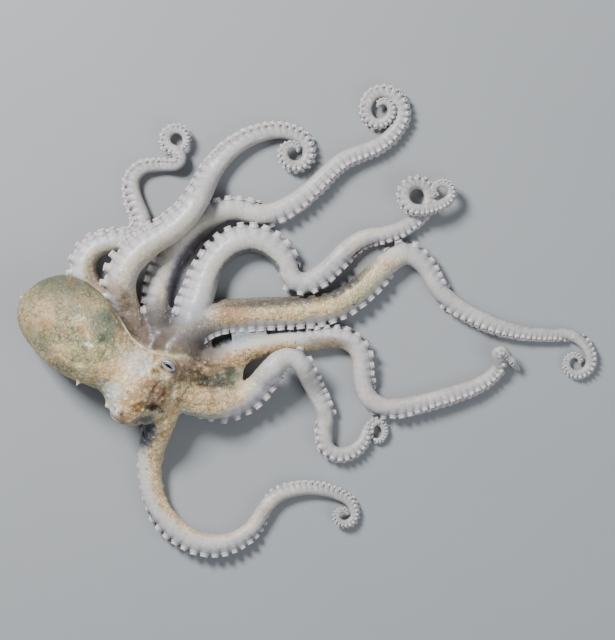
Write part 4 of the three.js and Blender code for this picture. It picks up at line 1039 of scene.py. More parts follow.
flank = lin((201, 201, 204)) * (1 + 0.07 * n_mid + 0.07 * n_small + 0.06 * n_fine)[:, None]
flank = laid(flank, (186, 189, 198), smooth01(0.1, 0.9, n_big) * 0.6)
flank = laid(flank, (184, 188, 198), smooth01(0.1, 0.9, np.cos(arm_th)) * 0.35)
flank = laid(flank, (208, 202, 176), smooth01(0.1, -0.8, np.cos(arm_th)) * smooth01(-0.6, 0.4, n_mid) * 0.5 * smooth01(0.5, 0.2, end_near))
flank = laid(flank, (212, 208, 196), smooth01(0.2, 1.0, noise(P32, 9, 77)) * 0.40)
flank = laid(flank, (164, 160, 152), smooth01(0.30, 0.14, t1) * (tid > 0.62) * 0.28)
wave = 0.5 + 0.5 * np.cos(arm_psi * 2 * math.pi * 2 + 2.2 * n_mid)
flank = laid(flank, (180, 176, 184), 0.30 * wave * smooth01(0.2, 0.8, np.cos(arm_th)) + 0.10 * wave)
thin = smooth01(6.4, 3.6, width_at)
far_out = smooth01(0.35, 0.8, end_near)
paint = laid(flank, (184, 183, 184), np.maximum(thin, far_out * 0.8) * 0.8)
mott = smooth01(0.0, 0.9, n_small + 0.6 * n_fine) * smooth01(0.3, -0.5, np.cos(arm_th))
paint = laid(paint, (152, 148, 136), mott * (0.16 + 0.24 * far_out))
paint = laid(paint, (222, 220, 216), smooth01(0.1, 0.9, -n_small + 0.5 * n_fine) * (0.25 + 0.2 * far_out))
# furrows that run up the flank from between the suckers, darkened with painted shade
phase = np.where(np.sin(arm_th) > 0, arm_psi, arm_psi - 0.5)
furrow = smooth01(0.50, 0.97, 0.5 - 0.5 * np.cos(2 * math.pi * (phase + 0.05 * n_mid)))
furrow *= smooth01(-0.55, 0.45, np.cos(arm_th)) * (1 - is_body) * smooth01(-0.7, 0.1, n_mid + 0.5)
paint = laid(paint, (132, 130, 132), furrow * (0.22 + 0.24 * thin))
# painted shade: the sides of every arm, as seen from above, are darker than its crest
paint = laid(paint, (150, 148, 160), smooth01(0.72, 0.98, np.abs(side_seen)) * smooth01(-0.2, 0.3, high_seen) * 0.35)

# colours of the tiles on the band
tan = np.where((tid < 0.30)[:, None], lin((226, 206, 168)), np.where((tid < 0.52)[:, None], lin((216, 192, 174)),
      np.where((tid < 0.72)[:, None], lin((206, 190, 146)), np.where((tid < 0.88)[:, None], lin((238, 228, 204)), lin((186, 146, 108))))))
tan = laid(tan, (222, 204, 170), 0.46)
for nm, c_, k_ in (("right_1", (234, 204, 164), .42), ("left_2", (214, 176, 136), .35), ("left_3", (222, 206, 168), .3), ("left_1", (216, 190, 152), .25)):
    tan = laid(tan, c_, k_ * (arm_no == NAMES.index(nm)))
tan = tan * (1 + 0.08 * n_fine)[:, None]
spots = smooth01(0.30, 0.14, g1) * (gid > 0.35)
tan = laid(tan, (204, 150, 106), spots * 0.42 + 0.25 * smooth01(.3, .9, n_mid))
tan = laid(tan, (150, 160, 128), smooth01(0.25, 0.8, -n_mid + 0.4 * n_small) * 0.45)
tan = laid(tan, (96, 84, 60), smooth01(0.20, 0.04, t2 - t1) * 0.34 * (0.6 + 0.4 * n_small))
paint = laid(paint, tan, band)
# cream towards the lower flank of the banded arms
paint = laid(paint, (212, 204, 176), 0.35 * strength * smooth01(24, -10, np.abs(back - half - 14)))
# small dark green flecks where the band ends
fleck = smooth01(0.30, 0.16, m1) * (mid_ > 0.45) * smooth01(30, 4, np.abs(back - half + 6 * n_mid)) * strength
paint = laid(paint, (62, 78, 62), fleck * 0.75)

bluish = ((arm_no == NAMES.index("right_4")) | (arm_no == NAMES.index("left_4")))[:, None]
slate = np.where(bluish, lin((88, 92, 114)), lin((74, 84, 88)))
slate = np.where((arm_no == NAMES.index("left_4"))[:, None], lin((104, 108, 114)), slate)
slate = np.where((arm_no == NAMES.index("left_3"))[:, None], lin((98, 100, 100)), slate)
slate = laid(slate, (112, 118, 132), smooth01(-0.2, 0.8, n_small))
slate = laid(slate, (48, 54, 66), smooth01(0.1, 0.7, -n_mid) * 0.7)
slate = laid(slate, (126, 128, 152), ((arm_no == NAMES.index("right_4")) & (arm_s < 34)) * smooth01(34, 14, arm_s) * 0.75)
# near the root of left_3 its dark edge turns brown-grey: painted shade
slate = laid(slate, (120, 100, 86), ((arm_no == NAMES.index("left_3")) & (arm_s < 34)) * smooth01(34, 16, arm_s) * 0.8)
slate = laid(slate, (148, 158, 168), smooth01(0.26, 0.12, t1) * 0.55)
tick = smooth01(0.55, 0.95, 0.5 + 0.5 * np.cos(arm_psi * 2 * math.pi)) * smooth01(0.93, 0.70, side_seen)
slate = laid(slate, (170, 176, 182), tick * 0.6)
paint = laid(paint, slate, dark * 0.92)

# the webs: their dark colours are partly their own translucent tone and partly painted shade of the hollows between the
# arms
web_near = np.zeros(len(V))
WEB_COLOURS = [((60, 84, 78), (150, 160, 140)), ((110, 112, 122), (70, 84, 110)), ((150, 128, 114), (120, 104, 96)),
               ((128, 112, 100), (84, 86, 84)), ((172, 170, 176), (196, 192, 196)), ((184, 164, 134), (148, 130, 108))]
for (poly, pa, pb, ha, hb), (ca, cb) in zip(WEB_POLYS, WEB_COLOURS):
    m = (np.abs(V[:, 0] - poly[:, 0].mean()) < 30) & (np.abs(V[:, 1] - poly[:, 1].mean()) < 30)
    k = np.nonzero(m)[0]
    d2 = polygon_distance(V[k, 0], V[k, 1], poly)
    amount = smooth01(1.2, -1.0, d2) * smooth01(0.1, 1.1, arm_dist[k]) * (1 - is_body[k])
    col = laid(np.tile(lin(ca), (len(k), 1)), cb, smooth01(-0.4, 0.6, n_mid[k]))
    col = laid(col, (176, 160, 132), smooth01(0.1, 0.7, n_small[k] + 0.4 * n_fine[k]) * 0.55)
    col = laid(col, (206, 206, 198), smooth01(0.24, 0.10, t1[k]) * (tid[k] > 0.45) * 0.6)
    paint[k] = laid(paint[k], col, amount * 0.9)
    web_near[k] = np.maximum(web_near[k], amount)
# round the mouth side of the crown, low between the arms, painted shade in grey-brown
deep = smooth01(19, 9, near_crown) * smooth01(8.5, 4.5, V[:, 2]) * (1 - is_body)
paint = laid(paint, (132, 118, 112), deep * 0.55)

# mantle and head
under = smooth01(0.10, -0.75, NV[:, 2]) * smooth01(9.5, 4.0, V[:, 2])
body = lin((198, 184, 142)) * (1 + 0.08 * n_mid + 0.06 * n_small)[:, None]
body = laid(body, (214, 196, 160), smooth01(0.0, 0.8, n_mid) * 0.6)
body = laid(body, (140, 152, 122), smooth01(-0.1, 0.7, -n_mid + 0.3 * n_small) * 0.6)
body = laid(body, (216, 198, 150), smooth01(0.1, 0.7, n_small) * 0.35)
body = laid(body, (176, 150, 108), smooth01(0.3, 0.9, -n_small + 0.3 * n_fine) * 0.30)
body = laid(body, (108, 128, 104), smooth01(0.25, 0.8, noise(P32, 5.0, 131) + 0.35 * n_small) * 0.55)
body = laid(body, (222, 196, 152), smooth01(0.25, 0.8, noise(P32, 4.2, 151) + 0.3 * n_fine) * 0.5)
body = laid(body, (206, 176, 140), smooth01(0.75, 0.95, gid) * smooth01(0.5, 0.25, g1) * 0.5)
body = laid(body, (140, 154, 134), smooth01(0.25, 0.05, gid) * smooth01(0.6, 0.3, g1) * 0.45)
body = laid(body, (228, 206, 178), smooth01(0.22, 0.72, noise(P32, 2.7, 161) + 0.25 * n_fine) * 0.46)
body = laid(body, (126, 142, 128), smooth01(0.28, 0.80, noise(P32, 3.0, 162) + 0.25 * n_fine) * 0.42)
body = laid(body, (188, 158, 122), smooth01(0.32, 0.85, noise(P32, 3.4, 163) + 0.25 * n_fine) * 0.42)
height = V[:, 2]
body = laid(body, (150, 154, 126), smooth01(11, 5, height) * 0.5)                          # greener round the flanks
body = body * (1 + 0.20 * (mid_ - 0.5))[:, None]
body = laid(body, (120, 134, 112), (mid_ > 0.80) * 0.22)
net_line = smooth01(0.20, 0.03, m2 - m1) * smooth01(-0.6, 0.2, n_small + 0.6 * noise(P32, 3.5, 91))
body = laid(body, (82, 98, 76), net_line * 0.62)
big_line = smooth01(0.10, 0.02, g2 - g1)
big_line *= smooth01(-0.5, 0.5, noise(P32, 7, 33))
body = laid(body, (76, 92, 76), big_line * 0.42)
body = laid(body, (224, 210, 172), smooth01(0.20, 0.12, g2 - g1) * (1 - big_line) * 0.25)
# the marks were placed as seen from above, so high skin is measured where the camera sees it
SEEN = V[:, :2] * (EYE_UP / (EYE_UP - V[:, 2]))[:, None]
for X_, Y_, rx, ry, ang, col, amount in MANTLE_MARKS:
    ca_, sa_ = math.cos(ang * rad), math.sin(ang * rad)
    k = np.nonzero((np.abs(SEEN[:, 0] - X_) < 2.2 * max(rx, ry)) & (np.abs(SEEN[:, 1] - Y_) < 2.2 * max(rx, ry)) & (is_body > 0.02))[0]
    dx, dy = SEEN[k, 0] - X_, SEEN[k, 1] - Y_
    u = np.hypot((dx * ca_ + dy * sa_) / rx, (-dx * sa_ + dy * ca_) / ry) + 0.34 * n_small[k] + 0.30 * n_fine[k]
    w_ = smooth01(1.6, 0.45, u) * amount * smooth01(3.5, 7, V[k, 2])
    body[k] = laid(body[k], col, w_ * (1 - 0.5 * net_line[k]) * (1 - 0.4 * big_line[k]) * (0.55 + 0.45 * smooth01(0.02, 0.4, mid_[k])))
# soft round spots that the side of the mantle also shows
for t_, ang_, r_, col in ((8, 60, 1.9, (188, 134, 88)), (16, -62, 1.8, (184, 130, 84)), (24, 66, 1.6, (186, 136, 92)),
                          (12, 18, 1.5, (192, 146, 104)), (22, 12, 1.4, (188, 140, 96)), (29, -48, 1.7, (190, 138, 94)), (4, -40, 1.5, (192, 150, 110))):
    w2_, h2_ = np.interp(t_, BODY_ROWS[:, 0], BODY_ROWS[:, 2]), np.interp(t_, BODY_ROWS[:, 0], BODY_ROWS[:, 4])
    pc = body_point(t_, np.interp(t_, BODY_ROWS[:, 0], BODY_ROWS[:, 1]) + w2_ * math.sin(ang_ * rad),
                    np.interp(t_, BODY_ROWS[:, 0], BODY_ROWS[:, 3]) + h2_ * math.cos(ang_ * rad))
    u = np.linalg.norm(V - pc, axis=1) / r_ + 0.42 * n_small + 0.25 * n_fine
    body = laid(body, col, smooth01(1.35, 0.3, u) * 0.42 * is_body * (1 - 0.4 * net_line))
# painted light and shade: its upper edge is darker and its lower half and front lighter
body = body * (1 + 0.15 * smooth01(-3, -10, V[:, 1]) * smooth01(4, 9, height) - 0.16 * smooth01(3, 9, V[:, 1]))[:, None]
# the belly side is a pale lilac grey with fine dots, as the views of its underside show
belly = laid(np.tile(lin((196, 192, 200)), (len(V), 1)), (150, 170, 168), smooth01(-0.1, 0.9, n_mid) * 0.5)
belly = laid(belly, (120, 124, 116), smooth01(0.26, 0.14, t1) * 0.5)
body = laid(body, belly, under * 0.9)

on_head = smooth01(33.5, 38.5, TA + 0.6 * n_mid) * is_body
front = smooth01(7, 16, near_crown)            # 0 over the crown
head = lin((214, 196, 168)) * (1 + 0.07 * n_small)[:, None]
head = laid(head, tan, 0.55)
head = laid(head, (150, 118, 88), smooth01(0.0, 0.8, n_mid + 0.3 * n_small) * 0.4)
head = laid(head, (212, 148, 98), smooth01(0.15, 0.7, noise(P32, 2.8, 171) + 0.3 * n_fine) * 0.42)
head = laid(head, (164, 172, 172), smooth01(0.15, 0.75, noise(P32, 3.4, 172) + 0.25 * n_small) * 0.42)
head = laid(head, (236, 222, 192), smooth01(0.25, 0.8, noise(P32, 1.7, 173)) * 0.40)
body = laid(body, head, on_head * 0.9)
tile_zone = np.maximum(np.maximum(band, on_head * 0.85), 0.26 * is_body * (1 - under))
for X_, Y_, rx, ry, ang, col, amount in HEAD_MARKS:
    ca_, sa_ = math.cos(ang * rad), math.sin(ang * rad)
    k = np.nonzero((np.abs(V[:, 0] - X_) < 2.1 * max(rx, ry)) & (np.abs(V[:, 1] - Y_) < 2.1 * max(rx, ry)))[0]
    dx, dy = V[k, 0] - X_, V[k, 1] - Y_
    u = np.hypot((dx * ca_ + dy * sa_) / rx, (-dx * sa_ + dy * ca_) / ry) + 0.26 * n_small[k] + 0.20 * n_fine[k]
    on_arm_a = (arm_no[k] == NAMES.index("right_1")) & (is_body[k] < 0.5)
    w_ = smooth01(1.5, 0.5, u) * amount * np.where(on_arm_a, smooth01(-0.7, -0.2, NV[k, 2]), smooth01(0.05, 0.5, NV[k, 2]))
    w_ = w_ * (0.7 + 0.3 * smooth01(0.1, 0.5, tid[k]))
    body[k] = laid(body[k], col, w_)
    paint[k] = laid(paint[k], col, w_)
    if col[2] > col[0]:                        # bluish skin is smoother
        tile_zone[k] *= 1 - 0.6 * w_
# marks on the arms, one of them painted shade along left_2
for X_, Y_, rx, ry, ang, col, amount in ARM_MARKS_AND_SHADE:
    ca_, sa_ = math.cos(ang * rad), math.sin(ang * rad)
    k = np.nonzero((np.abs(V[:, 0] - X_) < 2.1 * max(rx, ry)) & (np.abs(V[:, 1] - Y_) < 2.1 * max(rx, ry)))[0]
    dx, dy = V[k, 0] - X_, V[k, 1] - Y_
    u = np.hypot((dx * ca_ + dy * sa_) / rx, (-dx * sa_ + dy * ca_) / ry) + 0.25 * n_small[k] + 0.15 * n_fine[k]
    paint[k] = laid(paint[k], col, smooth01(1.6, 0.4, u) * amount * smooth01(-0.3, 0.3, NV[k, 2]))
mix_body = np.clip(np.maximum(is_body, smooth01(9.5, 6.0, near_crown) * smooth01(9.0, 11.5, V[:, 2])), 0, 1)
paint = laid(paint, body, mix_body)
# the funnel is pale, with fine brown dots
t_ = np.clip(((V - fa) @ fd), 0, np.linalg.norm(fb - fa))
from_funnel = np.linalg.norm(V - fa - t_[:, None] * fd, axis=1)
on_funnel = smooth01(4.4, 3.6, from_funnel) * smooth01(9.0, 6.5, V[:, 2]) * smooth01(-2, 1, (V - fa) @ fd)
fun = laid(np.tile(lin((200, 190, 192)), (len(V), 1)), (150, 128, 116), smooth01(0.30, 0.16, t1) * (tid > 0.5) * 0.7)
paint = laid(paint, fun, on_funnel)
tile_zone = tile_zone * (1 - on_funnel)
# a pale ridge
ridge_d = np.full(len(V), 9.0)
k = np.nonzero((np.abs(V - FOLD_LINE.mean(0)) < 22).all(1))[0]
for q_ in FOLD_LINE:
    ridge_d[k] = np.minimum(ridge_d[k], np.linalg.norm(V[k] - q_, axis=1))
# behind the ridge the skin dips to the arms: painted shade in grey-brown, then bluish towards them
behind = np.full(len(V), -9.0)
k = np.nonzero(ridge_d < 14)[0] if len(FOLD_LINE) else np.zeros(0, int)
tr, ar = body_coords(FOLD_LINE[:, 0], FOLD_LINE[:, 1])
o_ = np.argsort(tr)
k = np.nonzero((TA > tr.min() - 1) & (TA < tr.max() + 14) & (AC > 8))[0]
behind[k] = AC[k] - np.interp(TA[k], tr[o_], ar[o_])
valley = smooth01(0.3, 1.3, behind) * smooth01(13, 5, behind) * smooth01(24, 32, TA) * smooth01(62, 54, TA)
paint = laid(paint, (104, 90, 84), valley * 0.75)
paint = laid(paint, (96, 98, 110), smooth01(4, 9, behind) * smooth01(17, 10, behind) * smooth01(28, 34, TA) * smooth01(60, 50, TA) * 0.45)
shade_base = smooth01(25, 10, near_crown + 2 * n_mid) * smooth01(0.5, 4, behind) * (1 - is_body) * smooth01(24, 32, TA)
for nm in ("right_4", "left_4"):
    paint = laid(paint, (112, 104, 104), shade_base * (arm_no == NAMES.index(nm)) * (0.75 if nm == "right_4" else 0.35))
tile_zone = tile_zone * (1 - 0.8 * valley)
on_ridge = smooth01(0.85, 0.42, ridge_d + 0.10 * n_small) * (1 - 0.6 * smooth01(40, 46, TA)) * smooth01(23.5, 27.5, TA)
paint = laid(paint, (232, 222, 198), on_ridge * 0.9)
# eyelids: pale blue and silver rims, dark green in the grooves, a painted highlight along the upper rim and painted
# shade in the opening by the eyeball
for e in EYES:
    k = np.nonzero((np.abs(V - e["c"]) < 6).all(1))[0]
    q_ = V[k] - e["c"]
    u, v, w_ = q_ @ e["slit"], q_ @ e["up"], q_ @ e["out"]
    on = smooth01(0.2, 1.2, w_)
    r_ = np.hypot(u / 2.9, v / 2.1) + 0.05 * n_small[k]
    paint[k] = laid(paint[k], (176, 166, 160), on * smooth01(1.45, 1.0, r_) * 0.75)
    paint[k] = laid(paint[k], (150, 138, 84), on * smooth01(1.35, 1.0, r_) * smooth01(0.0, -1.6, v) * smooth01(0.4, -0.6, u) * 0.8)
    paint[k] = laid(paint[k], (150, 116, 96), on * smooth01(1.5, 1.1, r_) * smooth01(0.8, 2.2, u) * 0.6)
    paint[k] = laid(paint[k], (58, 56, 52), on * smooth01(0.14, 0.0, np.abs(r_ - 0.84)) * 0.6)
    rim_d = np.min(np.linalg.norm(V[k][:, None] - e["ring"][None], axis=2), axis=1)
    paint[k] = laid(paint[k], (150, 150, 158), on * smooth01(0.42, 0.1, rim_d + 0.15 * n_small[k]) * 0.8)
    # painted highlight on the upper rim
    paint[k] = laid(paint[k], (226, 226, 222), on * smooth01(0.5, 0.15, rim_d) * smooth01(0.2, 0.8, v) * smooth01(0.6, -0.8, u) * 0.7)
    # painted shade in the opening round the eyeball
    paint[k] = laid(paint[k], (30, 30, 38), smooth01(3.0, 2.8, np.linalg.norm(q_, axis=1)) * on * smooth01(0.72, 0.6, r_))
    tile_zone[k] *= 1 - on * smooth01(1.6, 1.1, r_) * 0.8
# pale tips of the warts
tip = np.zeros(len(V))
wp = np.array([w_[0] for w_ in WARTS])
wr = np.array([w_[1] for w_ in WARTS])
bucket = {}
for n_, q_ in enumerate(wp):
    bucket.setdefault(tuple(np.floor(q_ / 2).astype(int)), []).append(n_)
vb = np.floor(V / 2).astype(int)
code = (vb[:, 0] + 200) * 1000000 + (vb[:, 1] + 200) * 1000 + vb[:, 2] + 200
order = np.argsort(code, kind="stable")
sc_ = code[order]
for n_, q_ in enumerate(wp):
    b0 = np.floor(q_ / 2).astype(int)
    for dx in (-1, 0, 1):
        for dy in (-1, 0, 1):
            for dz in (-1, 0, 1):
                c_ = (b0[0] + dx + 200) * 1000000 + (b0[1] + dy + 200) * 1000 + b0[2] + dz + 200
                lo_, hi_ = np.searchsorted(sc_, c_), np.searchsorted(sc_, c_, side="right")
                if hi_ > lo_:
                    k = order[lo_:hi_]
                    d_ = np.linalg.norm(V[k] - q_, axis=1)
                    tip[k] = np.maximum(tip[k], smooth01(wr[n_] * 1.7, wr[n_] * 0.7, d_) * (0.45 + 0.55 * (n_ * 7 % 10) / 10))
paint = laid(paint, (234, 220, 190), tip * 0.42)
for along, across, up, lean, length, foot in MANTLE_SPIKES + HEAD_SPIKES:
    a_ = body_point(along, across, up)
    d_ = body_dir(*lean)
    k = np.nonzero((np.abs(V - a_) < 6).all(1))[0]
    t_ = np.clip((V[k] - a_) @ d_, 0, length)
    off_ = np.linalg.norm(V[k] - a_ - t_[:, None] * d_, axis=1)
    paint[k] = laid(paint[k], (230, 208, 178), smooth01(0.2, 1.2, t_) * smooth01(1.3, 0.6, off_) * 0.85)
level = (paint @ np.array([0.25, 0.65, 0.10]))[:, None]
paint = np.clip(level + (paint - level) * 1.08, 0.003, 1)
paint = paint * (1 + 0.24 * np.maximum(band, on_head) + 0.08 * on_head + 0.12 * band * (arm_no == NAMES.index("right_1"))
                 + (0.20 * smooth01(16, 30, TA) - 0.03) * is_body * (1 - on_head))[:, None]
paint = paint * (np.clip(level, 0.01, 1) / 0.60) ** 0.42
say("paint")

# even out the borders between neighbours
differ = (arm_no[EDGES[:, 0]] != arm_no[EDGES[:, 1]]) & ((arm_dist[EDGES[:, 0]] > -0.6) | (near_crown[EDGES[:, 0]] < 14))
soft = np.zeros(len(V))
soft[EDGES[differ].ravel()] = 1
soft = soft[:, None]
for _ in range(5):
    soft = np.maximum(soft, average(soft) * 1.25)
soft = np.clip(soft, 0, 1) * (near_crown < 40)[:, None]
blurred = paint.copy()
for _ in range(7):
    blurred = average(blurred)
paint = paint * (1 - soft * 0.85) + blurred * soft * 0.85
tile_soft = tile_zone[:, None]
for _ in range(3):
    tile_soft = average(tile_soft)
tile_zone = tile_soft[:, 0]

# ---- fine relief, pushed out along the normals
calm = 1 - smooth01(0.4, 1.0, on_ridge)
for e in EYES:
    near_eye = np.linalg.norm(V - e["c"], axis=1)
    calm = calm * smooth01(3.2, 4.4, near_eye)
relief = (0.12 * (0.42 - t1) + 0.05 * n_fine) * tile_zone * calm
relief += (0.10 * (0.45 - m1) - 0.05 * net_line) * is_body * (1 - on_head) * (1 - under)
relief += 0.08 * smooth01(0.0, 0.30, g2 - g1) * is_body * (1 - on_head) - 0.04 * is_body * (1 - on_head)
relief += 0.22 * n_small * on_head * calm * 0.6 + 0.10 * n_mid * is_body
relief += 0.018 * np.cos(arm_psi * 2 * math.pi * 2 + 2.2 * n_mid) * smooth01(6, 3, np.abs(arm_dist) * 4) * (1 - band) * (1 - is_body) * arm_R / 4
relief -= 0.09 * furrow * (1 - band) * np.clip(arm_R / 4, 0, 1)
relief += (0.06 * n_small + 0.03 * n_fine) * (1 - is_body) * np.clip(arm_R / 3, 0, 1)
relief *= smooth01(0.0, 0.5, V[:, 2])
keep_in = smooth01(1.0, 2.2, arm_R)
relief *= np.where(is_body > 0.5, 1, keep_in)
V = V + NV * relief[:, None]
V[:, 2] = np.maximum(V[:, 2], 0.0)
say("relief", float(relief.min()), float(relief.max()))

skin = face_mesh("octopus_skin", V, quads)
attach(skin, "root")
FLESH = [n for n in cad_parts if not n.startswith("eye_")]
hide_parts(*FLESH)


def attribute(ob, name, values):
    at = ob.data.attributes.new(name, "FLOAT", "POINT")
    at.data.foreach_set("value", np.asarray(values, np.float32))


def painted(ob, values):
    at = ob.data.attributes.new("paint", "FLOAT_COLOR", "POINT")
    rgba = np.ones((len(values), 4), np.float32)
    rgba[:, :3] = np.clip(values, 0, 1)
    at.data.foreach_set("color", rgba.ravel())


painted(skin, paint)
attribute(skin, "tile", np.clip(tile_zone, 0, 1))
attribute(skin, "net", is_body * (1 - on_head) * (1 - under))
attribute(skin, "dark", np.clip(dark + web_near * 0.5, 0, 1))

# ---- suckers: one cup after another in two rows along each arm
PROFILE = np.array([[1.26, -.90], [1.16, -.20], [1.03, .20], [.95, .55], [.95, .84], [1.02, 1.02], [1.02, 1.17], [.93, 1.32], [.78, 1.37],
                    [.64, 1.27], [.50, 1.06], [.44, .84], [.36, .66], [.20, .56]])


def make_suckers():
    vs, fs, tint, inner, slim = [], [], [], [], []
    base = 0
    count = 0
    for name in NAMES:
        path = PATHS[name]
        total = path["psi"][-1]
        for sign, shift in ((1, 0.0), (-1, 0.5)):
            for k in range(0, int(total) + 1):
                ps = k + shift
                if ps >= total - 0.6:
                    continue
                s = np.interp(ps, path["psi"], path["s"])
                if s < 9 + 4 * (name in ("right_4", "left_4")):
                    continue
                f = s / STEP
                j = min(int(f), len(path["s"]) - 2)
                u = f - j
                c = path["c"][j] * (1 - u) + path["c"][j + 1] * u
                R = path["R"][j] * (1 - u) + path["R"][j + 1] * u
                T, O, P = path["T"][j], path["O"][j], path["P"][j]
                pitch = path["pitch"][j]
                rs = 0.40 * pitch * (1 + 0.07 * math.sin(ps * 2.3 + sign) + 0.07 * math.sin(ps * 5.1 + 2 * sign))
                out = math.cos(ROW) * O + sign * math.sin(ROW) * P
                # the cups of both rows face a little more to the middle than they stand
                face = math.cos(ROW * 0.8) * O + sign * math.sin(ROW * 0.8) * P
                face = face + 0.11 * math.sin(ps * 3.7 + 1.3 * sign) * T + 0.10 * math.sin(ps * 6.1 + 2 * sign) * P
                face /= np.linalg.norm(face)
                surface = float(lookup(SECTION, np.array([sign * ROW]))[0]) * R
                rise = 0.86 * float(mound(R))
                foot = c + out * (surface + rise)
                proud = 1.30 if name in ("right_3", "right_2") else 1.18
                high = (proud * R + 0.24 - surface - rise) / 1.38 / rs      # cups end just proud of the arm
                high = min(max(high * (1 + 0.09 * math.sin(ps * 4.3 + sign)), 0.42), 1.35)
                n = 14 if rs > 0.6 else 10 if rs > 0.35 else 8
                e1 = T - face * (T @ face)
                e1 /= np.linalg.norm(e1)
                e2 = np.cross(face, e1)
                a = np.arange(n) * 2 * math.pi / n
                ring = np.cos(a)[:, None] * e1 + np.sin(a)[:, None] * e2
                rows = PROFILE if rs > 0.35 else PROFILE[[0, 2, 4, 6, 8, 10, 12, 13]]
                pts = np.concatenate([foot + ring * (r * rs) + face * (h * rs * high) for r, h in rows])
                pts = np.vstack([pts, foot + face * (0.52 * rs * high)])
                pts[:, 2] = np.maximum(pts[:, 2], 0.0)
                m = len(rows)
                for i in range(m - 1):
                    for q in range(n):
                        q2 = (q + 1) % n
                        fs.append((base + i * n + q, base + i * n + q2, base + (i + 1) * n + q2, base + (i + 1) * n + q))
                top = base + (m - 1) * n
                for q in range(n):
                    fs.append((top + q, top + (q + 1) % n, base + m * n, base + m * n))
                vs.append(pts)
                tint.append(np.concatenate([np.repeat(rows[:, 1], n), [0.5]]))
                ins = (np.arange(m) > (m * 8 // 14)).astype(float)
                inner.append(np.concatenate([np.repeat(ins, n), [1.0]]))
                slim.append(np.full(len(pts), smooth01(6.4, 3.6, path["w"][j])))
                base += len(pts)
                count += 1
    return np.vstack(vs), fs, np.concatenate(tint), np.concatenate(inner), np.concatenate(slim), count


sv, sf, stint, sinside, sthin, n_suckers = make_suckers()
scup = np.clip(stint, 0, 1)
say("suckers", n_suckers, len(sf))


def mixed_mesh(name, verts, faces):
    me = bpy.data.meshes.new(name)
    clean = [f[:3] if f[2] == f[3] else f for f in faces]
    counts = np.array([len(f) for f in clean])
    flat = np.fromiter((i for f in clean for i in f), np.int32, counts.sum())
    me.vertices.add(len(verts))
    me.vertices.foreach_set("co", (np.asarray(verts) * 0.001).astype(np.float32).ravel())
    me.loops.add(len(flat))
    me.loops.foreach_set("vertex_index", flat)
    me.polygons.add(len(clean))
    me.polygons.foreach_set("loop_start", np.concatenate([[0], np.cumsum(counts)[:-1]]).astype(np.int32))
    me.polygons.foreach_set("use_smooth", np.ones(len(clean), bool))
    me.update(calc_edges=True)
    ob = bpy.data.objects.new(name, me)
    bpy.context.scene.collection.objects.link(ob)
    return ob


suckers = mixed_mesh("suckers", sv, sf)
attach(suckers, "root")
q = sv.astype(np.float32)
cup = np.clip(stint, 0, 1.4)
tone = lin((204, 199, 201)) * (1 + 0.06 * noise(q, 1.3, 5) + 0.05 * noise(q, 7, 6))[:, None]
tone = laid(tone, (196, 190, 192), smooth01(0.5, 0.0, scup) * 0.5)
tone = laid(tone, (196, 178, 178), sinside * 0.55)
# painted shade deep in each cup
tone = laid(tone, (132, 118, 122), sinside * smooth01(1.0, 0.6, cup) * 0.5)
tone = laid(tone, (200, 199, 199), sthin * 0.6)
level = (tone @ np.array([0.25, 0.65, 0.10]))[:, None]
tone = tone * (np.clip(level, 0.01, 1) / 0.60) ** 0.42
painted(suckers, tone)

# ---- the eyes: a ball with a slit pupil, seen through the opening of the lids
for e in EYES:
    n1, n2 = ((96, 48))
    ph = np.linspace(0, math.pi, n2 + 1)[1:-1]
    th = np.arange(n1) * 2 * math.pi / n1
    rows = [(e["c"] + e["out"] * EYE_RADIUS)[None]]
    for p_ in ph:
        rows.append(e["c"] + EYE_RADIUS * (math.cos(p_) * e["out"] + math.sin(p_) * (np.cos(th)[:, None] * e["slit"] + np.sin(th)[:, None] * e["up"])))
    rows.append((e["c"] - e["out"] * EYE_RADIUS)[None])
    ev = np.vstack(rows)
    q_ = ev - e["c"]
    u, v, w_ = q_ @ e["slit"], q_ @ e["up"], q_ @ e["out"]
    # the pupil sits in a shallow dip under the lens
    dip = smooth01(1.25, 0.75, np.hypot(u / 1.35, v / 0.55)) * (w_ > 0)
    ev = ev - e["out"] * (0.10 * dip)[:, None]
    ef = []
    for q2 in range(n1):
        ef.append((0, 1 + q2, 1 + (q2 + 1) % n1, 1 + (q2 + 1) % n1))
    for r_ in range(n2 - 2):
        for q2 in range(n1):
            a_, b_ = 1 + r_ * n1 + q2, 1 + r_ * n1 + (q2 + 1) % n1
            ef.append((a_, a_ + n1, b_ + n1, b_))
    last = 1 + (n2 - 1) * n1
    for q2 in range(n1):
        a_, b_ = 1 + (n2 - 2) * n1 + q2, 1 + (n2 - 2) * n1 + (q2 + 1) % n1
        ef.append((a_, last, b_, b_))
    ball = mixed_mesh("eyeball_" + e["side"], ev, ef)
    attribute(ball, "eu", u)
    attribute(ball, "ev", v)
    attribute(ball, "ew", w_)
    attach(ball, "root")
    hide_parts("eye_" + e["side"])
    e["ball"] = ball
say("eyes")

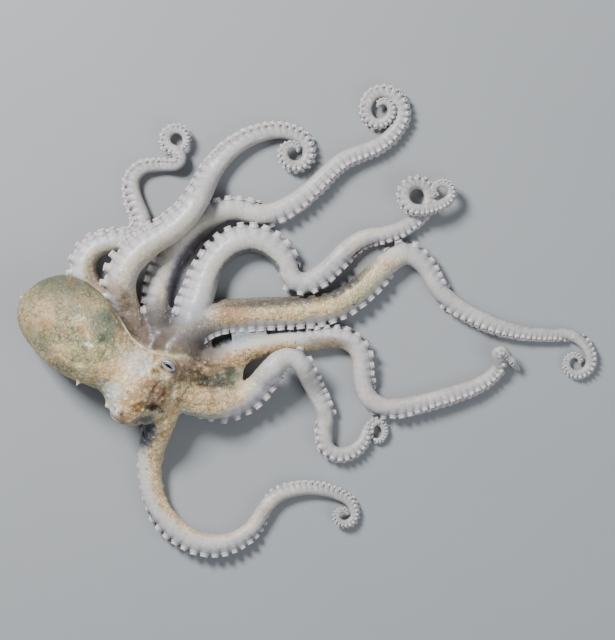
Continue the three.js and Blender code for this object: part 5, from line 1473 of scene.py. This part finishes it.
# =====================================================================================
# Materials
# =====================================================================================
class Net:
    """A short way to write shader nodes."""
    def __init__(self, name):
        self.m = bpy.data.materials.new(name)
        self.m.use_nodes = True
        self.t = self.m.node_tree
        self.b = self.t.nodes["Principled BSDF"]

    def node(self, kind, ins=(), **props):
        n = self.t.nodes.new(kind)
        for k_, v_ in props.items():
            setattr(n, k_, v_)
        for k_, v_ in dict(ins).items():
            self.put(n.inputs[k_], v_)
        return n

    def put(self, socket, v):
        if isinstance(v, bpy.types.NodeSocket):
            self.t.links.new(v, socket)
        elif isinstance(v, bpy.types.Node):
            self.t.links.new(v.outputs[0], socket)
        elif isinstance(v, (tuple, list)) and len(v) == 3 and socket.type == "RGBA":
            socket.default_value = (*v, 1)
        else:
            socket.default_value = v

    def math(self, op, a, b=0.0, c=0.0, clamp=False):
        n = self.node("ShaderNodeMath", {0: a, 1: b, 2: c}, operation=op, use_clamp=clamp)
        return n.outputs[0]

    def ramp(self, x, lo, hi, a=0.0, b=1.0):
        n = self.node("ShaderNodeMapRange", {"Value": x, "From Min": lo, "From Max": hi, "To Min": a, "To Max": b},
                      interpolation_type="SMOOTHSTEP", clamp=True)
        return n.outputs[0]

    def mix(self, f, a, b, blend="MIX"):
        n = self.t.nodes.new("ShaderNodeMix")
        n.data_type, n.blend_type = "RGBA", blend
        self.put(n.inputs[0], f)
        self.put(n.inputs[6], a)
        self.put(n.inputs[7], b)
        return n.outputs[2]

    def attr(self, name, out="Fac"):
        return self.node("ShaderNodeAttribute", attribute_name=name).outputs[out]

    def noise(self, p, mm, detail=2.0, rough=0.5):
        return self.node("ShaderNodeTexNoise", {"Vector": p, "Scale": 1000.0 / mm, "Detail": detail, "Roughness": rough}).outputs[0]

    def voronoi(self, p, mm, feature="F1", rnd=1.0):
        n = self.node("ShaderNodeTexVoronoi", {"Vector": p, "Scale": 1000.0 / mm, "Randomness": rnd}, feature=feature)
        return n

    def lin(self, c):
        return tuple(float(v) for v in lin(c))


def wet(n, rough, coat=0.25, sss=0.22):
    b = n.b
    n.put(b.inputs["Roughness"], rough)
    b.inputs["IOR"].default_value = 1.38
    b.inputs["Coat Weight"].default_value = coat
    b.inputs["Coat Roughness"].default_value = 0.16
    b.inputs["Coat IOR"].default_value = 1.34
    b.inputs["Subsurface Weight"].default_value = sss
    b.inputs["Subsurface Radius"].default_value = (1.0, 0.62, 0.5)
    b.inputs["Subsurface Scale"].default_value = 0.0012


def skin_material():
    n = Net("octopus_skin_mat")
    obj = n.node("ShaderNodeTexCoord").outputs["Object"]
    wobble = n.node("ShaderNodeTexNoise", {"Vector": obj, "Scale": 1000 / 1.6, "Detail": 2.0})
    p = n.node("ShaderNodeVectorMath", {0: wobble.outputs["Color"], 1: (0.0007, 0.0007, 0.0007)}, operation="MULTIPLY")
    p = n.node("ShaderNodeVectorMath", {0: obj, 1: p.outputs[0]}, operation="ADD").outputs[0]
    paint_, tile, net, dark_ = n.attr("paint", "Color"), n.attr("tile"), n.attr("net"), n.attr("dark")
    big = n.noise(obj, 2.6, 3)
    fine = n.noise(obj, 0.42, 3, 0.6)
    # overall fine mottling
    col = n.mix(n.math("MULTIPLY", n.ramp(fine, 0.35, 0.7), 0.22), paint_, (0.30, 0.27, 0.25), "MULTIPLY")
    col = n.mix(n.math("MULTIPLY", n.ramp(fine, 0.45, 0.25), 0.10), col, (0.9, 0.86, 0.8), "SCREEN")
    # tiles: each with its own tint, and dark lines between
    vt = n.voronoi(p, 0.88)
    sep = n.node("ShaderNodeSeparateColor", {0: vt.outputs["Color"]})
    tint = n.mix(sep.outputs[0], (0.74, 0.71, 0.66), (1.24, 1.22, 1.18))
    tint = n.mix(n.ramp(sep.outputs[1], 0.78, 0.92), tint, (1.12, 0.86, 0.68))
    tint = n.mix(n.ramp(sep.outputs[2], 0.84, 0.94), tint, (0.80, 0.94, 0.78))
    col = n.mix(n.math("MULTIPLY", tile, 0.85), col, tint, "MULTIPLY")
    edge_t = n.voronoi(p, 0.88, "DISTANCE_TO_EDGE").outputs["Distance"]
    line_t = n.math("MULTIPLY", n.ramp(edge_t, 0.10, 0.015), n.math("MULTIPLY", tile, n.ramp(big, 0.35, 0.65, 0.15, 0.6)))
    col = n.mix(line_t, col, n.lin((70, 58, 40)))
    # a fine broken green net on the mantle, with flecks
    edge_m = n.voronoi(p, 1.35, "DISTANCE_TO_EDGE").outputs["Distance"]
    line_m = n.math("MULTIPLY", n.ramp(edge_m, 0.085, 0.01), n.math("MULTIPLY", net, n.ramp(big, 0.42, 0.66, 0.08, 0.8)))
    col = n.mix(n.math("MULTIPLY", line_m, 0.75), col, n.lin((66, 80, 62)))
    dots = n.voronoi(p, 0.62)
    dsep = n.node("ShaderNodeSeparateColor", {0: dots.outputs["Color"]})
    dot = n.math("MULTIPLY", n.ramp(n.math("MULTIPLY", dots.outputs["Distance"], n.ramp(dsep.outputs[2], 0.0, 1.0, 0.7, 2.2)), 0.30, 0.14), n.ramp(dsep.outputs[0], 0.62, 0.72))
    dot = n.math("MULTIPLY", dot, n.math("MULTIPLY", n.math("MAXIMUM", net, n.math("MULTIPLY", tile, 0.7)), 0.6))
    col = n.mix(dot, col, n.lin((48, 58, 44)))
    gran = n.voronoi(p, 0.40)
    gsep = n.node("ShaderNodeSeparateColor", {0: gran.outputs["Color"]})
    rough_skin = n.math("MAXIMUM", tile, n.math("MULTIPLY", net, 0.7))
    gtint = n.mix(gsep.outputs[0], (0.84, 0.82, 0.80), (1.13, 1.13, 1.11))
    col = n.mix(n.math("MULTIPLY", rough_skin, 0.75), col, gtint, "MULTIPLY")
    gline = n.math("MULTIPLY", n.ramp(gran.outputs["Distance"], 0.38, 0.62), n.math("MULTIPLY", rough_skin, 0.22))
    col = n.mix(gline, col, n.lin((84, 76, 60)))
    # bright points
    pts_ = n.voronoi(p, 1.9)
    psep = n.node("ShaderNodeSeparateColor", {0: pts_.outputs["Color"]})
    pt = n.math("MULTIPLY", n.ramp(n.math("MULTIPLY", pts_.outputs["Distance"], n.ramp(psep.outputs[2], 0.0, 1.0, 1.0, 2.6)), 0.20, 0.10), n.ramp(psep.outputs[1], 0.66, 0.74))
    pt = n.math("MULTIPLY", pt, n.math("ADD", n.math("MULTIPLY", tile, 0.6), n.math("MULTIPLY", net, 0.2)))
    col = n.mix(pt, col, n.lin((240, 228, 200)))
    # tiny brown colour cells, loosely scattered over the pale flanks
    chrom = n.voronoi(p, 0.5)
    csep = n.node("ShaderNodeSeparateColor", {0: chrom.outputs["Color"]})
    cell = n.math("MULTIPLY", n.ramp(chrom.outputs["Distance"], 0.30, 0.16), n.ramp(csep.outputs[0], 0.55, 0.65))
    cell = n.math("MULTIPLY", cell, n.math("MULTIPLY", n.ramp(big, 0.4, 0.62, 0.08, 0.42), n.math("SUBTRACT", 1.0, n.math("MAXIMUM", tile, net))))
    col = n.mix(cell, col, n.lin((126, 104, 92)))
    # on the glassy dark edges pale specks
    sp = n.voronoi(obj, 1.1)
    spk = n.math("MULTIPLY", n.ramp(sp.outputs["Distance"], 0.22, 0.12), n.math("MULTIPLY", dark_, 0.5))
    col = n.mix(spk, col, n.lin((186, 192, 196)))
    n.put(n.b.inputs["Base Color"], col)
    rough = n.math("ADD", n.ramp(fine, 0.3, 0.7, 0.30, 0.46), n.math("MULTIPLY", tile, 0.08))
    rough = n.math("SUBTRACT", rough, n.math("MULTIPLY", dark_, 0.12))
    rough = n.math("ADD", rough, n.math("MULTIPLY", n.ramp(n.noise(obj, 3.2, 2), 0.4, 0.62), 0.10))
    wet(n, rough, 0.16, 0.2)
    h = n.math("MULTIPLY", n.ramp(edge_t, 0.0, 0.22), n.math("MULTIPLY", tile, 0.9))
    h = n.math("ADD", h, n.math("MULTIPLY", n.ramp(edge_m, 0.0, 0.16), n.math("MULTIPLY", net, 0.7)))
    h = n.math("ADD", h, n.math("MULTIPLY", n.ramp(gran.outputs["Distance"], 0.6, 0.1), n.math("MULTIPLY", rough_skin, 0.55)))
    h = n.math("ADD", h, n.math("MULTIPLY", pt, 0.8))
    h = n.math("ADD", h, n.math("MULTIPLY", fine, 0.35))
    h = n.math("ADD", h, n.math("MULTIPLY", n.noise(obj, 1.1, 2), 0.5))
    bump = n.node("ShaderNodeBump", {"Strength": 0.75, "Distance": 0.00012, "Height": h})
    n.put(n.b.inputs["Normal"], bump)
    return n.m


def sucker_material():
    n = Net("octopus_sucker_mat")
    obj = n.node("ShaderNodeTexCoord").outputs["Object"]
    paint_ = n.attr("paint", "Color")
    fine = n.noise(obj, 0.35, 3, 0.6)
    wide = n.noise(obj, 2.2, 2)
    col = n.mix(n.math("MULTIPLY", n.ramp(fine, 0.4, 0.7), 0.18), paint_, (0.35, 0.3, 0.3), "MULTIPLY")
    col = n.mix(n.math("MULTIPLY", n.ramp(wide, 0.45, 0.7), 0.15), col, n.lin((232, 222, 214)))
    n.put(n.b.inputs["Base Color"], col)
    wet(n, n.ramp(fine, 0.3, 0.7, 0.28, 0.44), 0.25, 0.25)
    bump = n.node("ShaderNodeBump", {"Strength": 0.6, "Distance": 0.00006, "Height": fine})
    n.put(n.b.inputs["Normal"], bump)
    return n.m


def eye_material():
    n = Net("octopus_eye_mat")
    obj = n.node("ShaderNodeTexCoord").outputs["Object"]
    u, v = n.attr("eu"), n.attr("ev")
    fine = n.noise(obj, 0.30, 3, 0.6)
    wav = n.math("MULTIPLY", n.math("SUBTRACT", fine, 0.5), 0.22)

    def oval(hu, hv):
        a_ = n.math("POWER", n.math("ABSOLUTE", n.math("DIVIDE", u, hu)), 2.0)
        b_ = n.math("POWER", n.math("ABSOLUTE", n.math("DIVIDE", v, hv)), 2.0)
        return n.math("ADD", n.math("SQRT", n.math("ADD", a_, b_)), wav)
    iris = oval(2.2, 1.25)
    pupil = oval(1.30, 0.44)
    col = n.mix(n.ramp(iris, 0.6, 1.05), n.lin((186, 198, 214)), n.lin((56, 58, 66)))
    col = n.mix(n.ramp(n.noise(obj, 0.5, 2), 0.45, 0.7, 0.0, 0.5), col, n.lin((112, 138, 160)))
    col = n.mix(n.math("MULTIPLY", n.ramp(n.noise(obj, 0.22, 2), 0.58, 0.7), 0.5), col, n.lin((176, 160, 120)))
    col = n.mix(n.ramp(pupil, 1.42, 1.08, 0.0, 0.8), col, n.lin((86, 104, 138)))
    col = n.mix(n.ramp(pupil, 1.06, 0.94), col, (0.004, 0.004, 0.007))
    n.put(n.b.inputs["Base Color"], col)
    n.put(n.b.inputs["Roughness"], n.ramp(fine, 0.3, 0.7, 0.12, 0.2))
    n.b.inputs["IOR"].default_value = 1.4
    n.b.inputs["Coat Weight"].default_value = 1.0
    n.b.inputs["Coat Roughness"].default_value = 0.04
    bump = n.node("ShaderNodeBump", {"Strength": 0.25, "Distance": 0.00003, "Height": fine})
    n.put(n.b.inputs["Normal"], bump)
    return n.m


def floor_material():
    n = Net("floor_paint")
    obj = n.node("ShaderNodeTexCoord").outputs["Object"]
    f = n.noise(obj, 40.0, 3)
    col = n.mix(n.ramp(f, 0.3, 0.7), FLOOR_TONE, tuple(v * 0.985 for v in FLOOR_TONE))
    n.put(n.b.inputs["Base Color"], col)
    n.b.inputs["Roughness"].default_value = 0.7
    n.b.inputs["IOR"].default_value = 1.3
    return n.m


FLOOR_TONE = (0.315, 0.335, 0.357)
skin.data.materials.append(skin_material())
suckers.data.materials.append(sucker_material())
eye_mat = eye_material()
for e in EYES:
    e["ball"].data.materials.append(eye_mat)

# =====================================================================================
# Floor, light and camera
# =====================================================================================
me = bpy.data.meshes.new("floor")
S = 3.0
me.from_pydata([(-S, -S, 0), (S, -S, 0), (S, S, 0), (-S, S, 0)], [], [(0, 1, 2, 3)])
floor_ob = bpy.data.objects.new("floor", me)
bpy.context.scene.collection.objects.link(floor_ob)
floor_ob.data.materials.append(floor_material())
floor_ob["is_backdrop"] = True


def area_light(name, at, target, size, power, colour=(1, 1, 1)):
    li = bpy.data.lights.new(name, "AREA")
    li.energy, li.size, li.color = power, size, colour
    ob = bpy.data.objects.new(name, li)
    ob.location = at
    ob.rotation_euler = (Vector(target) - Vector(at)).to_track_quat("-Z", "Y").to_euler()
    bpy.context.scene.collection.objects.link(ob)
    return ob


area_light("key", (-0.34, 0.36, 0.52), (0, 0, 0), 0.20, 9.4, (1.0, 0.985, 0.96))
area_light("fill", (0.42, -0.32, 0.48), (0, 0, 0), 0.5, 2.3, (0.94, 0.97, 1.0))
world = bpy.data.worlds.new("studio")
bpy.context.scene.world = world
world.use_nodes = True
world.node_tree.nodes["Background"].inputs["Color"].default_value = (0.9, 0.93, 1.0, 1)
world.node_tree.nodes["Background"].inputs["Strength"].default_value = 0.20

cam = bpy.data.cameras.new("camera")
cam.lens, cam.sensor_width = LENS, 36
cam_ob = bpy.data.objects.new("camera", cam)
bpy.context.scene.collection.objects.link(cam_ob)
# the picture is 615 by 640, so the sensor's 36 mm are its height
dist = 0.001 * EYE_UP
cam_ob.location = (0.0, 0.0, dist)
cam_ob.rotation_euler = (0, 0, 0)
bpy.context.scene.camera = cam_ob

lo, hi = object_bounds()
say("done")
